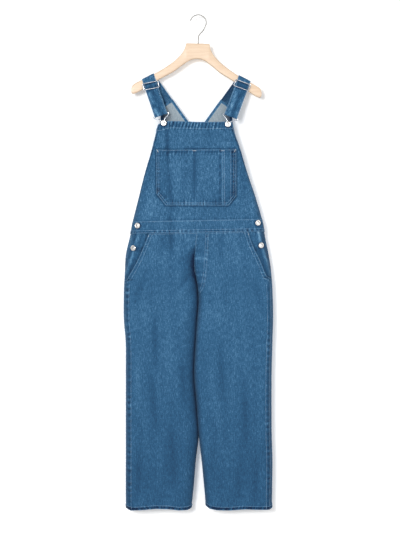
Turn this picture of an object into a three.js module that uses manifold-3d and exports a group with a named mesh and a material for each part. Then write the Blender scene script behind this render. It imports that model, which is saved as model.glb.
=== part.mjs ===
// Denim dungarees on a wooden hanger.
// Millimetres, +Z up, the front faces -Y, and left and right are as seen from the front.
// The origin is the inside top of the hanger's hook, where a rail or a peg carries it.
import * as THREE from 'three';
import { mergeVertices } from 'three/addons/utils/BufferGeometryUtils.js';
import Module from 'manifold-3d';

const wasm = await Module();
wasm.setup();

// Cloth
const clothWall = 1.3;
const pocketWall = 1.1;
const strapWall = 2;
const seamGap = 0.3;
const layerGap = 1;
const facingGap = { atWaist: 1.6, atEnd: 6.5 };
const wireGap = 0.55;
const front = -1;
const back = 1;

// Waist, hips and legs
const waistTopLeft = -629;
const waistTopRight = -621;
const waistBottomLeft = -667;
const waistBottomRight = -660;
const foldTop = -690;
const crotch = -868;
const sideRoll = 24;
const bibRoll = 20;
const innerRollFront = { left: 45, right: 18 };
const innerRollBack = { left: 30, right: 26 };
const facingUnderlap = { atWaist: 22, atEnd: 3, over: 60 };

// Straps, with their angles from the vertical
const strapWidth = 40;
const strapBend = 7.6;
const sliderPitch = 9.7;
const wireRadius = 1.3;
const buttonDrop = 27.5;
const strapSides = {
  left: { side: -1, topX: -154.8, topZ: -186.4, foldSlope: 27, runAngle: 18.8, sliderAt: 20.6,
    clipAt: 124.8, seamAt: 103, sliderTilt: -7.6 },
  right: { side: 1, topX: 140, topZ: -192.1, foldSlope: 28, runAngle: 20.2, sliderAt: 13.6,
    clipAt: 123.6, seamAt: 99, sliderTilt: 0 },
};

// Hanger
const hangerThickness = 12;
const hangerRounding = 5;
const hangerTilt = 1.7;
const hookWire = 1.75;
const hookRadius = 24.4;
const hookCentre = [-1.5, -22.9];

function table(names, rows) {
  return rows.map((row) => Object.fromEntries(names.map((name, i) => [name, row[i]])));
}

// Outline of the front, from the bib's top to the hems
const frontOutline = table(['z', 'left', 'right'], [
  [-320, -117.0, 96.5],
  [-350, -127.2, 106.1],
  [-411, -142.4, 126.9],
  [-484, -163.8, 148.8],
  [-557, -182.1, 173.2],
  [-630, -200.4, 194.6],
  [-667, -207.4, 200.7],
  [-728, -221.7, 212.9],
  [-777, -224.8, 220.5],
  [-850, -227.8, 225.1],
  [-923, -227.8, 226.6],
  [-996, -222.3, 224.5],
  [-1094, -221.7, 222.0],
  [-1265, -221.7, 222.0],
  [-1362, -221.7, 224.5],
  [-1484, -221.7, 223.0],
  [-1510, -220.5, 224.5],
]);

// Armhole edges of the back, which join the front's outline at the waist
const backOutline = table(['z', 'left', 'right'], [
  [-240, -110.0, 99.0],
  [-282, -114.0, 100.4],
  [-334, -119.5, 105.5],
  [-411, -139.5, 124.0],
  [-484, -161.0, 146.0],
  [-557, -179.5, 170.5],
  [-630, -200.4, 194.6],
]);

// How far the cloth stands forward and back, in its middle and at its side edges
const depths = table(['z', 'front', 'frontSide', 'back', 'backSide'], [
  [-240, -20, -17, 9.6, 9.6],
  [-330, -21, -17, 11, 10],
  [-420, -23, -14, 13, 10],
  [-550, -27, -7, 18, 6],
  [-620, -31, -0.6, 23, 0.6],
  [-667, -33, -0.6, 27, 0.6],
  [-760, -37, -0.5, 35, 0.5],
  [-868, -38, -0.5, 34, 0.5],
  [-1090, -37, -0.5, 31, 0.5],
  [-1510, -33, -0.5, 28, 0.5],
]);

// Middle line between the legs, which part below the knees
const innerEdges = table(['z', 'left', 'right'], [
  [-667, -3.0, -2.7],
  [-700, -7.0, -6.6],
  [-765, -12.0, -11.3],
  [-853, -0.8, 0.0],
  [-960, -7.5, -6.6],
  [-1091, -14.2, -13.2],
  [-1192, -7.0, -5.5],
  [-1277, -1.8, 0.3],
  [-1362, -9.8, 10.1],
  [-1436, -15.9, 17.1],
  [-1510, -23.5, 23.8],
]);

// Slanted pocket openings, from the waist seam to the side seam
const pocketOpenings = {
  left: table(['z', 'x'], [[-655, -147.0], [-672, -152.8], [-747, -184.8], [-809, -219.3]]),
  right: table(['z', 'x'], [[-650, 146.5], [-665.5, 151.0], [-708, 166.2], [-751, 187.6], [-796, 206.8],
    [-803, 222.0]]),
};
const flyEdge = table(['z', 'x'], [[-655, 32], [-667, 31.4], [-791, 23.8], [-828, 17], [-846, 8]]);

// Largest soft folds: each runs from one point to another, and a positive depth sinks into the cloth
const foldNames = ['topX', 'topZ', 'lowX', 'lowZ', 'halfWidth', 'depth'];
const frontFolds = table(foldNames, [
  [-90, -345, -84, -610, 24, 3.0],
  [-10, -430, -12, -600, 24, 2.4],
  [60, -345, 66, -600, 26, 1.8],
  [-76, -640, -70, -790, 24, 3.4],
  [-122, -650, -136, -800, 22, -2.4],
  [95, -690, 70, -860, 24, 2.4],
  [-128, -880, -122, -1290, 22, 4.5],
  [-70, -900, -60, -1330, 22, -3.0],
  [90, -900, 100, -1300, 24, 3.4],
  [150, -960, 158, -1400, 22, -3.0],
  [-160, -1180, -150, -1490, 20, 3.0],
  [55, -1240, 62, -1495, 16, 3.0],
]);
const backFolds = table(foldNames, [
  [-70, -390, -95, -610, 18, 3.0],
  [75, -400, 100, -600, 16, 2.6],
  [-110, -800, -95, -1060, 24, 4.0],
  [105, -790, 88, -1120, 22, 4.5],
  [-60, -930, -70, -1360, 20, -3.0],
  [70, -1000, 62, -1400, 20, -3.2],
  [-150, -1120, -142, -1480, 22, 3.6],
  [158, -1180, 150, -1490, 20, 3.0],
]);

const denim = new THREE.MeshStandardMaterial({ color: 0x40698f, roughness: 0.9, metalness: 0 });
const denimInside = new THREE.MeshStandardMaterial({ color: 0x3c6288, roughness: 0.92, metalness: 0 });
const silver = new THREE.MeshStandardMaterial({ color: 0xd9d9d6, roughness: 0.28, metalness: 1 });
const birch = new THREE.MeshStandardMaterial({ color: 0xf1d6b4, roughness: 0.5, metalness: 0 });

const radians = (degrees) => degrees * Math.PI / 180;
const mix = (a, b, t) => a + (b - a) * t;
const clamp = THREE.MathUtils.clamp;
const easeInOut = (t) => {
  const held = clamp(t, 0, 1);
  return held * held * (3 - 2 * held);
};

// A column of a table at a height, on a smooth curve through its rows, which run downwards
function at(rows, name, z) {
  let i = 0;
  while (i < rows.length - 2 && z < rows[i + 1].z) i += 1;
  const slope = (j) => {
    const above = rows[Math.max(j - 1, 0)];
    const below = rows[Math.min(j + 1, rows.length - 1)];
    return (below[name] - above[name]) / (below.z - above.z);
  };
  const span = rows[i + 1].z - rows[i].z;
  const t = clamp((z - rows[i].z) / span, 0, 1);
  const start = rows[i][name] * (1 + 2 * t) * (1 - t) ** 2 + slope(i) * span * t * (1 - t) ** 2;
  const end = rows[i + 1][name] * t * t * (3 - 2 * t) - slope(i + 1) * span * t * t * (1 - t);
  return start + end;
}

// How far the folds push the cloth inwards at a place
function foldDepth(folds, x, z) {
  let depth = 0;
  for (const fold of folds) {
    const along = (fold.topZ - z) / (fold.topZ - fold.lowZ);
    if (along <= 0 || along >= 1) continue;
    const across = (x - mix(fold.topX, fold.lowX, along)) / fold.halfWidth;
    depth += fold.depth * Math.sin(Math.PI * along) * Math.exp(-across * across);
  }
  return depth;
}

// One level of a layer of cloth, from its start edge to its end edge, as [x, y] points.
// Each end rolls from its own depth to the layer's depth.
function section(z, folds, facing, start, end, depth) {
  const rollSteps = 8;
  const middleSteps = 26;
  const direction = Math.sign(end.x - start.x);
  const points = [];
  const addPoint = (x, y, share) => points.push([x, y - facing * share * foldDepth(folds, x, z)]);
  for (let i = 0; i < rollSteps; i += 1) {
    const turn = (i / rollSteps) * Math.PI / 2;
    const x = start.x + direction * start.roll * (1 - Math.cos(turn));
    addPoint(x, mix(start.y, depth, Math.sin(turn)), Math.sin(turn));
  }
  for (let i = 0; i <= middleSteps; i += 1) {
    const from = start.x + direction * start.roll;
    const to = end.x - direction * end.roll;
    addPoint(mix(from, to, i / middleSteps), depth, 1);
  }
  for (let i = rollSteps - 1; i >= 0; i -= 1) {
    const turn = (i / rollSteps) * Math.PI / 2;
    const x = end.x - direction * end.roll * (1 - Math.cos(turn));
    addPoint(x, mix(end.y, depth, Math.sin(turn)), Math.sin(turn));
  }
  return points;
}

// The stretch of a level between two values of x
function trimmed(points, fromX, toX) {
  const direction = Math.sign(points[points.length - 1][0] - points[0][0]);
  const before = (x, limit) => (x - limit) * direction < 0;
  const cut = (limit) => {
    const i = clamp(points.findIndex((point) => !before(point[0], limit)), 1, points.length - 1);
    const [a, b] = [points[i - 1], points[i]];
    const t = clamp((limit - a[0]) / (b[0] - a[0]), 0, 1);
    return [mix(a[0], b[0], t), mix(a[1], b[1], t)];
  };
  const inside = points.filter((point) => before(fromX, point[0]) && before(point[0], toX));
  return [cut(fromX), ...inside, cut(toX)];
}

// The point of a level at a share of its length
function pointAlong(points, share) {
  const lengths = [0];
  for (let i = 1; i < points.length; i += 1) {
    const step = Math.hypot(points[i][0] - points[i - 1][0], points[i][1] - points[i - 1][1]);
    lengths.push(lengths[i - 1] + step);
  }
  const wanted = share * lengths[lengths.length - 1];
  let i = 1;
  while (i < points.length - 1 && lengths[i] < wanted) i += 1;
  const t = (wanted - lengths[i - 1]) / Math.max(lengths[i] - lengths[i - 1], 1e-6);
  return [mix(points[i - 1][0], points[i][0], t), mix(points[i - 1][1], points[i][1], t)];
}

// The front and back layers of bib, waist and hips, from side to side
function frontAcross(z) {
  const y = at(depths, 'frontSide', z);
  const roll = mix(bibRoll, sideRoll, easeInOut((-400 - z) / 230));
  const start = { x: at(frontOutline, 'left', z), y, roll };
  const end = { x: at(frontOutline, 'right', z), y, roll };
  return section(z, frontFolds, front, start, end, at(depths, 'front', z));
}
function backAcross(z) {
  const y = at(depths, 'backSide', z);
  const outline = z > -630 ? backOutline : frontOutline;
  const start = { x: at(outline, 'left', z), y, roll: sideRoll };
  const end = { x: at(outline, 'right', z), y, roll: sideRoll };
  return section(z, backFolds, back, start, end, at(depths, 'back', z));
}

// The front or back of one leg, from the side seam to the middle, where it folds in towards the crotch
function legAcross(z, side, facing) {
  const name = facing === front ? 'front' : 'back';
  const depth = at(depths, name, z);
  const seam = at(depths, `${name}Side`, z);
  const innerRoll = (facing === front ? innerRollFront : innerRollBack)[side];
  const foldIn = easeInOut((foldTop - z) / (foldTop - crotch));
  const start = { x: at(frontOutline, side, z), y: seam, roll: sideRoll };
  const end = { x: at(innerEdges, side, z), y: mix(depth, seam, foldIn), roll: innerRoll };
  return section(z, facing === front ? frontFolds : backFolds, facing, start, end, depth);
}

// A grid of points over a layer: level(z) gives its section, and top(x) and bottom(x) its ends in height
function clothGrid(level, top, bottom, rowShares, columnShares) {
  const endHeight = (share, end) => {
    let z = end(0);
    for (let i = 0; i < 12; i += 1) z = end(pointAlong(level(z), share)[0]);
    return z;
  };
  const tops = columnShares.map((share) => endHeight(share, top));
  const bottoms = columnShares.map((share) => endHeight(share, bottom));
  return rowShares.map((down) => columnShares.map((share, i) => {
    const z = mix(tops[i], bottoms[i], down);
    const [x, y] = pointAlong(level(z), share);
    return new THREE.Vector3(x, y, z);
  }));
}
const evenShares = (count) => Array.from({ length: count + 1 }, (_, i) => i / count);
const closerAtEnds = (count) => evenShares(count).map((share) => mix(share, (1 - Math.cos(Math.PI * share)) / 2, 0.5));

// An edge through given [x, z] points, from left to right, as a height at each x
function edgeThrough(points) {
  return (x) => {
    let i = 1;
    while (i < points.length - 1 && points[i][0] < x) i += 1;
    const [a, b] = [points[i - 1], points[i]];
    return mix(a[1], b[1], clamp((x - a[0]) / (b[0] - a[0]), 0, 1));
  };
}

function gridNormals(grid, facing) {
  const normals = grid.map((row, i) => row.map((_, j) => {
    const up = grid[Math.max(i - 1, 0)][j];
    const down = grid[Math.min(i + 1, grid.length - 1)][j];
    const before = row[Math.max(j - 1, 0)];
    const after = row[Math.min(j + 1, row.length - 1)];
    const along = new THREE.Vector3().subVectors(after, before);
    return along.cross(new THREE.Vector3().subVectors(down, up)).normalize();
  }));
  const middle = normals[Math.floor(grid.length / 2)][Math.floor(grid[0].length / 2)];
  const turn = middle.y * facing < 0 ? -1 : 1;
  return normals.map((row) => row.map((normal) => normal.multiplyScalar(turn)));
}

// The grid moved outwards, or inwards by a negative distance, which may depend on the height
function movedOut(grid, facing, distance) {
  const normals = gridNormals(grid, facing);
  const distanceAt = typeof distance === 'function' ? distance : () => distance;
  return grid.map((row, i) => row.map((point, j) => (
    point.clone().addScaledVector(normals[i][j], distanceAt(point.z)))));
}

// A closed body of triangles, with its faces turned outwards
function closedGeometry(points, triangles) {
  let volume = 0;
  for (const [a, b, c] of triangles) {
    volume += points[a].dot(new THREE.Vector3().crossVectors(points[b], points[c]));
  }
  const turned = volume < 0 ? triangles.map(([a, b, c]) => [a, c, b]) : triangles;
  const geometry = new THREE.BufferGeometry();
  geometry.setAttribute('position', new THREE.Float32BufferAttribute(points.flatMap((p) => p.toArray()), 3));
  geometry.setIndex(turned.flat());
  geometry.computeVertexNormals();
  return geometry;
}

// A wall of cloth between an outer grid and an inner grid
function shell(outer, inner) {
  const rows = outer.length;
  const columns = outer[0].length;
  const points = [...outer.flat(), ...inner.flat()];
  const layer = rows * columns;
  const triangles = [];
  const quad = (a, b, c, d) => triangles.push([a, b, c], [a, c, d]);
  for (let i = 0; i < rows - 1; i += 1) {
    for (let j = 0; j < columns - 1; j += 1) {
      const a = i * columns + j;
      quad(a, a + 1, a + columns + 1, a + columns);
      quad(layer + a + columns, layer + a + columns + 1, layer + a + 1, layer + a);
    }
  }
  for (let j = 0; j < columns - 1; j += 1) {
    const low = (rows - 1) * columns + j;
    quad(j + 1, j, layer + j, layer + j + 1);
    quad(low, low + 1, layer + low + 1, layer + low);
  }
  for (let i = 0; i < rows - 1; i += 1) {
    const a = i * columns;
    const b = a + columns - 1;
    quad(a, a + columns, layer + a + columns, layer + a);
    quad(b + columns, b, layer + b, layer + b + columns);
  }
  return closedGeometry(points, triangles);
}
function wall(grid, facing, thickness) {
  return shell(grid, movedOut(grid, facing, -thickness));
}

const dungarees = new THREE.Group();
function add(name, geometry, material) {
  const mesh = new THREE.Mesh(geometry, material);
  mesh.name = name;
  dungarees.add(mesh);
  return mesh;
}

const halfGap = seamGap / 2;
const waistTop = edgeThrough([[-200, waistTopLeft], [194, waistTopRight]]);
const waistBottom = edgeThrough([[-207, waistBottomLeft], [200, waistBottomRight]]);

// Bib and its pocket
const bibTop = edgeThrough([[-119.6, -333], [-85.7, -324], [7.6, -327.3], [98.5, -326]]);
const bibGrid = clothGrid(frontAcross, bibTop, (x) => waistTop(x) + halfGap, evenShares(8), closerAtEnds(24));
add('bib', wall(bibGrid, front, clothWall), denim);

const pocketAcross = (z) => trimmed(frontAcross(z), -128.7, 114.4);
const pocketTop = edgeThrough([[-128.7, -411.5], [114.4, -409.5]]);
const pocketBottom = edgeThrough([[-128.7, -545.6], [-99.7, -581.3], [90.9, -581.6], [114.4, -552.7]]);
const pocketGrid = clothGrid(pocketAcross, pocketTop, pocketBottom, evenShares(7), evenShares(18));
add('bib_pocket', wall(movedOut(pocketGrid, front, layerGap + pocketWall), front, pocketWall), denim);

// Waistbands
const bandGrid = (level) => clothGrid(level, (x) => waistTop(x) - halfGap, (x) => waistBottom(x) + halfGap,
  evenShares(2), closerAtEnds(26));
add('waistband_front', wall(bandGrid(frontAcross), front, clothWall), denim);
add('waistband_back', wall(bandGrid(backAcross), back, clothWall), denim);

// Legs. Rows lie close together down to the end of the slanted opening, then over the crotch, then wide apart.
const openingRows = evenShares(8).map((share) => share * 0.168);
const legRows = [...openingRows, 0.19, 0.215, 0.24, 0.28, 0.34, 0.42, 0.5, 0.6, 0.7, 0.8, 0.9, 1];
const legColumns = [0, 0.035, 0.07, 0.105, 0.145, 0.23, 0.34, 0.46, 0.58, 0.7, 0.8, 0.87, 0.935, 1];
const hems = {
  left: [[-220.5, -1503], [-130, -1502.4], [-23.5, -1504.6]],
  right: [[24, -1494], [35, -1500], [55, -1504.6], [224.5, -1501.5]],
};
const backHems = {
  left: [[-220.5, -1501], [-120, -1504], [-23.5, -1501]],
  right: [[24, -1500], [120, -1503.5], [224.5, -1500]],
};
for (const side of ['left', 'right']) {
  const edge = (z) => at(pocketOpenings[side], 'x', z);
  const sign = side === 'left' ? -1 : 1;
  const legTop = (x) => waistBottom(x) - halfGap;
  const openingEnd = pocketOpenings[side][pocketOpenings[side].length - 1].z;

  const frontLevel = (z) => {
    const across = legAcross(z, side, front);
    const outerX = z > openingEnd ? sign * Math.min(Math.abs(edge(z)), Math.abs(across[0][0])) : across[0][0];
    return trimmed(across, outerX, across[across.length - 1][0]);
  };
  const frontGrid = clothGrid(frontLevel, legTop, edgeThrough(hems[side]), legRows, legColumns);
  add(`front_${side}`, wall(frontGrid, front, clothWall), denim);

  const backLevel = (z) => legAcross(z, side, back);
  const backGrid = clothGrid(backLevel, legTop, edgeThrough(backHems[side]), legRows, legColumns);
  add(`back_${side}`, wall(backGrid, back, clothWall), denim);

  // Facing of the slanted pocket, which lies under the front
  const waistShare = (z) => easeInOut((z - openingEnd) / facingUnderlap.over);
  const facingLevel = (z) => {
    const across = legAcross(z, side, front);
    const underlap = mix(facingUnderlap.atEnd, facingUnderlap.atWaist, waistShare(z));
    return trimmed(across, across[0][0], edge(z) - sign * underlap);
  };
  const facingGrid = clothGrid(facingLevel, legTop, () => openingEnd - 5, evenShares(9), evenShares(7));
  const facingOuter = movedOut(facingGrid, front,
    (z) => -clothWall - mix(facingGap.atEnd, facingGap.atWaist, waistShare(z)));
  add(`pocket_facing_${side}`, wall(facingOuter, front, pocketWall), denim);
}

// Fly, which lies on the right front beside the middle line
const flyLevel = (z) => {
  const across = legAcross(z, 'right', front);
  return trimmed(across, at(flyEdge, 'x', z), across[across.length - 1][0] + 2.6);
};
const flyGrid = clothGrid(flyLevel, () => -665, () => -846, evenShares(10), evenShares(4));
add('fly', wall(movedOut(flyGrid, front, layerGap + 0.6 + pocketWall), front, pocketWall), denim);

// Straps. Each is a ribbon laid over the hanger: s runs along it from the fold, positive to the front,
// and w runs across it, positive towards the middle.
function strapFrame({ side, topX, topZ, foldSlope, runAngle }) {
  const slope = radians(foldSlope);
  const skew = radians(foldSlope - runAngle);
  const foldLine = new THREE.Vector3(-side * Math.cos(slope), 0, Math.sin(slope));
  const down = new THREE.Vector3(-side * Math.sin(slope), 0, -Math.cos(slope));
  const quarter = strapBend * Math.PI / 2;
  return (s, w, y) => {
    const along = -Math.sin(skew) * s + Math.cos(skew) * w;
    const round = Math.cos(skew) * s + Math.sin(skew) * w;
    const turn = clamp(round / strapBend, -Math.PI / 2, Math.PI / 2);
    const drop = strapBend * (1 - Math.cos(turn)) + Math.max(Math.abs(round) - quarter, 0);
    const point = new THREE.Vector3(topX, 0, topZ).addScaledVector(foldLine, along).addScaledVector(down, drop);
    point.y = y === undefined ? -strapBend * Math.sin(turn) : y;
    return point;
  };
}
// The front run's own distances start at the fold as seen from the front
const runStart = strapBend * (Math.PI / 2 - 1);
const backDepthAtSeam = at(depths, 'back', -266) - clothWall / 2;
const runDepth = -9.7;

function strapGrid(sizes, clipDepth) {
  const place = strapFrame(sizes);
  const rows = [];
  const addRow = (s, y, tilt = 0) => rows.push([-1, -0.5, 0, 0.5, 1].map((share) => {
    const w = share * strapWidth / 2;
    return place(s + tilt * w, w, y);
  }));
  const wrapEnd = 16;
  for (const share of evenShares(4)) {
    addRow(mix(-sizes.seamAt + halfGap, -wrapEnd - 2, share), mix(backDepthAtSeam, strapBend, easeInOut(share)));
  }
  for (const share of evenShares(9)) addRow(mix(-wrapEnd, wrapEnd, share));

  // Under the slider's first bar, over its middle bar, under its last bar, then down to the clip
  const tilt = -Math.tan(radians(sizes.sliderTilt));
  const overBar = runDepth - 2 * (wireRadius + strapWall / 2 + wireGap);
  const first = sizes.sliderAt + runStart;
  const middle = first + sliderPitch;
  const last = middle + sliderPitch;
  const bend = 3;
  const easeIn = 0.2;
  addRow(first, runDepth, tilt);
  addRow(first + bend, mix(runDepth, overBar, easeIn), tilt);
  addRow(middle - bend, mix(overBar, runDepth, easeIn), tilt);
  addRow(middle, overBar, tilt);
  addRow(middle + bend, mix(overBar, runDepth, easeIn), tilt);
  addRow(last - bend, mix(runDepth, overBar, easeIn), tilt);
  addRow(last, runDepth, tilt);

  // The clip's bar turns the strap back, and its end goes up behind to the slider's middle bar
  const clip = sizes.clipAt + runStart;
  const clipBend = wireRadius + wireGap + strapWall / 2;
  const runShares = [0.12, 0.35, 0.6, 0.85];
  const runAt = (share) => mix(runDepth, clipDepth - clipBend, share);
  for (const share of runShares) addRow(mix(last, clip, share), runAt(share), share < 0.2 ? tilt / 2 : 0);
  for (const share of evenShares(6)) {
    const turn = share * Math.PI;
    addRow(clip + clipBend * Math.sin(turn), clipDepth - clipBend * Math.cos(turn));
  }
  const apart = (share) => mix(strapWall + wireGap, 2 * clipBend, share);
  for (const share of [...runShares].reverse()) {
    addRow(mix(last, clip, share), runAt(share) + apart(share), share < 0.2 ? tilt / 2 : 0);
  }
  const endDepth = runDepth + strapWall + wireGap;
  addRow(last, endDepth, tilt);
  addRow(middle + bend, mix(endDepth, runDepth, 0.6), tilt);
  addRow(middle - 2, runDepth, tilt);
  return rows;
}

// Closed body of a wire bent into a flat loop; its points are [x, z] and it may run round corners
function wireLoop(points, radius, sides) {
  const count = points.length;
  const rings = [];
  for (let i = 0; i < count; i += 1) {
    const before = points[(i + count - 1) % count];
    const after = points[(i + 1) % count];
    const length = Math.hypot(after[0] - before[0], after[1] - before[1]);
    const outX = (after[1] - before[1]) / length;
    const outZ = -(after[0] - before[0]) / length;
    for (let k = 0; k < sides; k += 1) {
      const turn = (k / sides) * 2 * Math.PI;
      const out = radius * Math.cos(turn);
      rings.push(new THREE.Vector3(points[i][0] + outX * out, radius * Math.sin(turn), points[i][1] + outZ * out));
    }
  }
  const triangles = [];
  for (let i = 0; i < count; i += 1) {
    for (let k = 0; k < sides; k += 1) {
      const a = i * sides + k;
      const b = i * sides + ((k + 1) % sides);
      const c = ((i + 1) % count) * sides + k;
      const d = ((i + 1) % count) * sides + ((k + 1) % sides);
      triangles.push([a, b, d], [a, d, c]);
    }
  }
  return closedGeometry(rings, triangles);
}

function arc(centreX, centreZ, radius, fromTurn, toTurn, steps) {
  return evenShares(steps).map((share) => {
    const turn = radians(mix(fromTurn, toTurn, share));
    return [centreX + radius * Math.cos(turn), centreZ + radius * Math.sin(turn)];
  });
}

function solidFrom(geometry) {
  const bare = geometry.clone();
  bare.deleteAttribute('normal');
  bare.deleteAttribute('uv');
  const merged = mergeVertices(bare, 1e-4);
  return new wasm.Manifold(new wasm.Mesh({
    numProp: 3,
    vertProperties: new Float32Array(merged.attributes.position.array),
    triVerts: new Uint32Array(merged.index.array),
  }));
}
function geometryFrom(solid) {
  const { vertProperties, triVerts } = solid.getMesh();
  const geometry = new THREE.BufferGeometry();
  geometry.setAttribute('position', new THREE.BufferAttribute(vertProperties, 3));
  geometry.setIndex(new THREE.BufferAttribute(triVerts, 1));
  geometry.computeVertexNormals();
  return geometry;
}

// A wire along a curve, with its sides facing out
function wireAlong(curve, radius, sides, steps) {
  const round = new THREE.Shape();
  round.absarc(0, 0, radius, 0, 2 * Math.PI, false);
  const tube = new THREE.ExtrudeGeometry(round, { steps, extrudePath: curve, curveSegments: sides / 2 });
  return tube;
}

// Slider: a frame with a middle bar, which the strap is threaded through
const sliderHalfWidth = strapWidth / 2 + wireRadius + 2.4;
function sliderGeometry() {
  const corner = 3;
  const reachX = sliderHalfWidth - corner;
  const reachZ = sliderPitch - corner;
  const frame = wireLoop([
    ...arc(reachX, reachZ, corner, 0, 90, 3),
    ...arc(-reachX, reachZ, corner, 90, 180, 3),
    ...arc(-reachX, -reachZ, corner, 180, 270, 3),
    ...arc(reachX, -reachZ, corner, 270, 360, 3),
  ], wireRadius, 8);
  const ends = [new THREE.Vector3(-sliderHalfWidth, 0, 0), new THREE.Vector3(sliderHalfWidth, 0, 0)];
  const bar = wireAlong(new THREE.LineCurve3(ends[0], ends[1]), wireRadius * 0.9, 8, 1);
  return geometryFrom(solidFrom(frame).add(solidFrom(bar)));
}

// Clip: a bar through the strap's fold, whose wire closes round the button's shank below
function clipGeometry() {
  const half = [[strapWidth / 2 + 2, -0.8], [strapWidth / 2 + 3.2, -3], [strapWidth / 2 + 2.4, -6.5],
    [13, -12], [7.4, -16], [5.7, -20.5]];
  const keyhole = arc(0, -buttonDrop, 5.4, 20, -200, 9);
  const mirrored = [...half].reverse().map(([x, z]) => [-x, z]);
  return wireLoop([[-18, 0], [-6, 0], [6, 0], [18, 0], ...half, ...keyhole, ...mirrored], wireRadius, 8);
}

// Button: a domed cap on a shank, turned about the line of sight
function buttonGeometry(capRadius, shank) {
  const outline = [[0, 0], [3.6, 0], [3.3, -shank], [capRadius - 0.7, -shank], [capRadius, -shank - 0.9],
    [capRadius - 0.5, -shank - 1.9], [capRadius * 0.6, -shank - 2.9], [0, -shank - 3.2]];
  return new THREE.LatheGeometry(outline.map(([x, y]) => new THREE.Vector2(x, y)), 12);
}
function turnedOut(geometry) {
  const solid = geometry.clone();
  solid.deleteAttribute('normal');
  solid.deleteAttribute('uv');
  const merged = mergeVertices(solid, 1e-4);
  const points = [];
  const triangles = [];
  const corners = merged.attributes.position;
  for (let i = 0; i < corners.count; i += 1) points.push(new THREE.Vector3().fromBufferAttribute(corners, i));
  for (let i = 0; i < merged.index.count; i += 3) {
    const triangle = [0, 1, 2].map((k) => merged.index.getX(i + k));
    if (new Set(triangle).size === 3) triangles.push(triangle);
  }
  return closedGeometry(points, triangles);
}

// Where a level of cloth stands at an x, and how it is turned there
function surfaceAt(points, x) {
  const ordered = points[0][0] < points[points.length - 1][0] ? points : [...points].reverse();
  let i = 1;
  while (i < ordered.length - 1 && ordered[i][0] < x) i += 1;
  const [a, b] = [ordered[i - 1], ordered[i]];
  const t = clamp((x - a[0]) / (b[0] - a[0]), 0, 1);
  return { y: mix(a[1], b[1], t), turn: Math.atan2(b[1] - a[1], b[0] - a[0]) };
}

const bibShank = 3.9;
const seams = {};
for (const [side, sizes] of Object.entries(strapSides)) {
  const place = strapFrame(sizes);
  const clip = sizes.clipAt + runStart;
  const buttonPlace = place(clip + buttonDrop, 0, 0);
  const cloth = surfaceAt(frontAcross(buttonPlace.z), buttonPlace.x).y;
  const clipDepth = cloth - 0.8 - wireRadius;
  add(`strap_${side}`, wall(movedOut(strapGrid(sizes, clipDepth), front, strapWall / 2), front, strapWall), denim);

  const lean = radians(-sizes.side * sizes.runAngle);
  const middle = sizes.sliderAt + runStart + sliderPitch;
  const slider = add(`slider_${side}`, sliderGeometry(), silver);
  slider.position.copy(place(middle, 0, runDepth - wireRadius - strapWall / 2 - wireGap));
  slider.rotation.y = -lean - radians(sizes.sliderTilt);

  const clipMesh = add(`clip_${side}`, clipGeometry(), silver);
  clipMesh.position.copy(place(clip, 0, clipDepth));
  clipMesh.rotation.y = -lean;

  const button = add(`bib_button_${side}`, turnedOut(buttonGeometry(9, bibShank)), silver);
  button.position.set(buttonPlace.x, cloth - seamGap, buttonPlace.z);

  const seam = -sizes.seamAt - halfGap;
  seams[side] = { neck: place(seam, strapWidth / 2, 0), outer: place(seam, -strapWidth / 2, 0) };
  seams[side].direction = new THREE.Vector3().subVectors(place(seam - 100, 0, 0), place(seam, 0, 0));
}

// Back: it widens from the straps' seams to the waist, and its neck edges carry the straps' inner edges on
function neckBottom() {
  const { neck: a, direction: p } = seams.left;
  const { neck: b, direction: q } = seams.right;
  const t = ((b.x - a.x) * q.z - (b.z - a.z) * q.x) / (p.x * q.z - p.z * q.x);
  return a.clone().addScaledVector(p, t);
}
const neck = neckBottom();
const backTop = edgeThrough([
  [seams.left.outer.x, seams.left.outer.z], [seams.left.neck.x, seams.left.neck.z], [neck.x, neck.z],
  [seams.right.neck.x, seams.right.neck.z], [seams.right.outer.x, seams.right.outer.z]]);
const backGrid = clothGrid(backAcross, backTop, (x) => waistTop(x) + halfGap, evenShares(9),
  closerAtEnds(22));
add('back_panel', wall(backGrid, back, clothWall), denimInside);

// Side buttons, on the waistband and below it on the pocket's facing
const sideButtons = table(['name', 'x', 'z', 'under'], [
  ['side_button_left_upper', -184.8, -642, 0.6],
  ['side_button_left_lower', -197.3, -710, clothWall + facingGap.atWaist],
  ['side_button_right_upper', 179, -633.5, 0.3],
  ['side_button_right_lower', 188.5, -701.8, clothWall + facingGap.atWaist],
]);
for (const { name, x, z, under } of sideButtons) {
  const surface = surfaceAt(frontAcross(z), x);
  const button = add(name, turnedOut(buttonGeometry(8.4, 2.2)), silver);
  const lift = under - seamGap - 0.25;
  button.position.set(x - Math.sin(surface.turn) * lift, surface.y + Math.cos(surface.turn) * lift, z);
  button.rotation.z = surface.turn;
}

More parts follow.
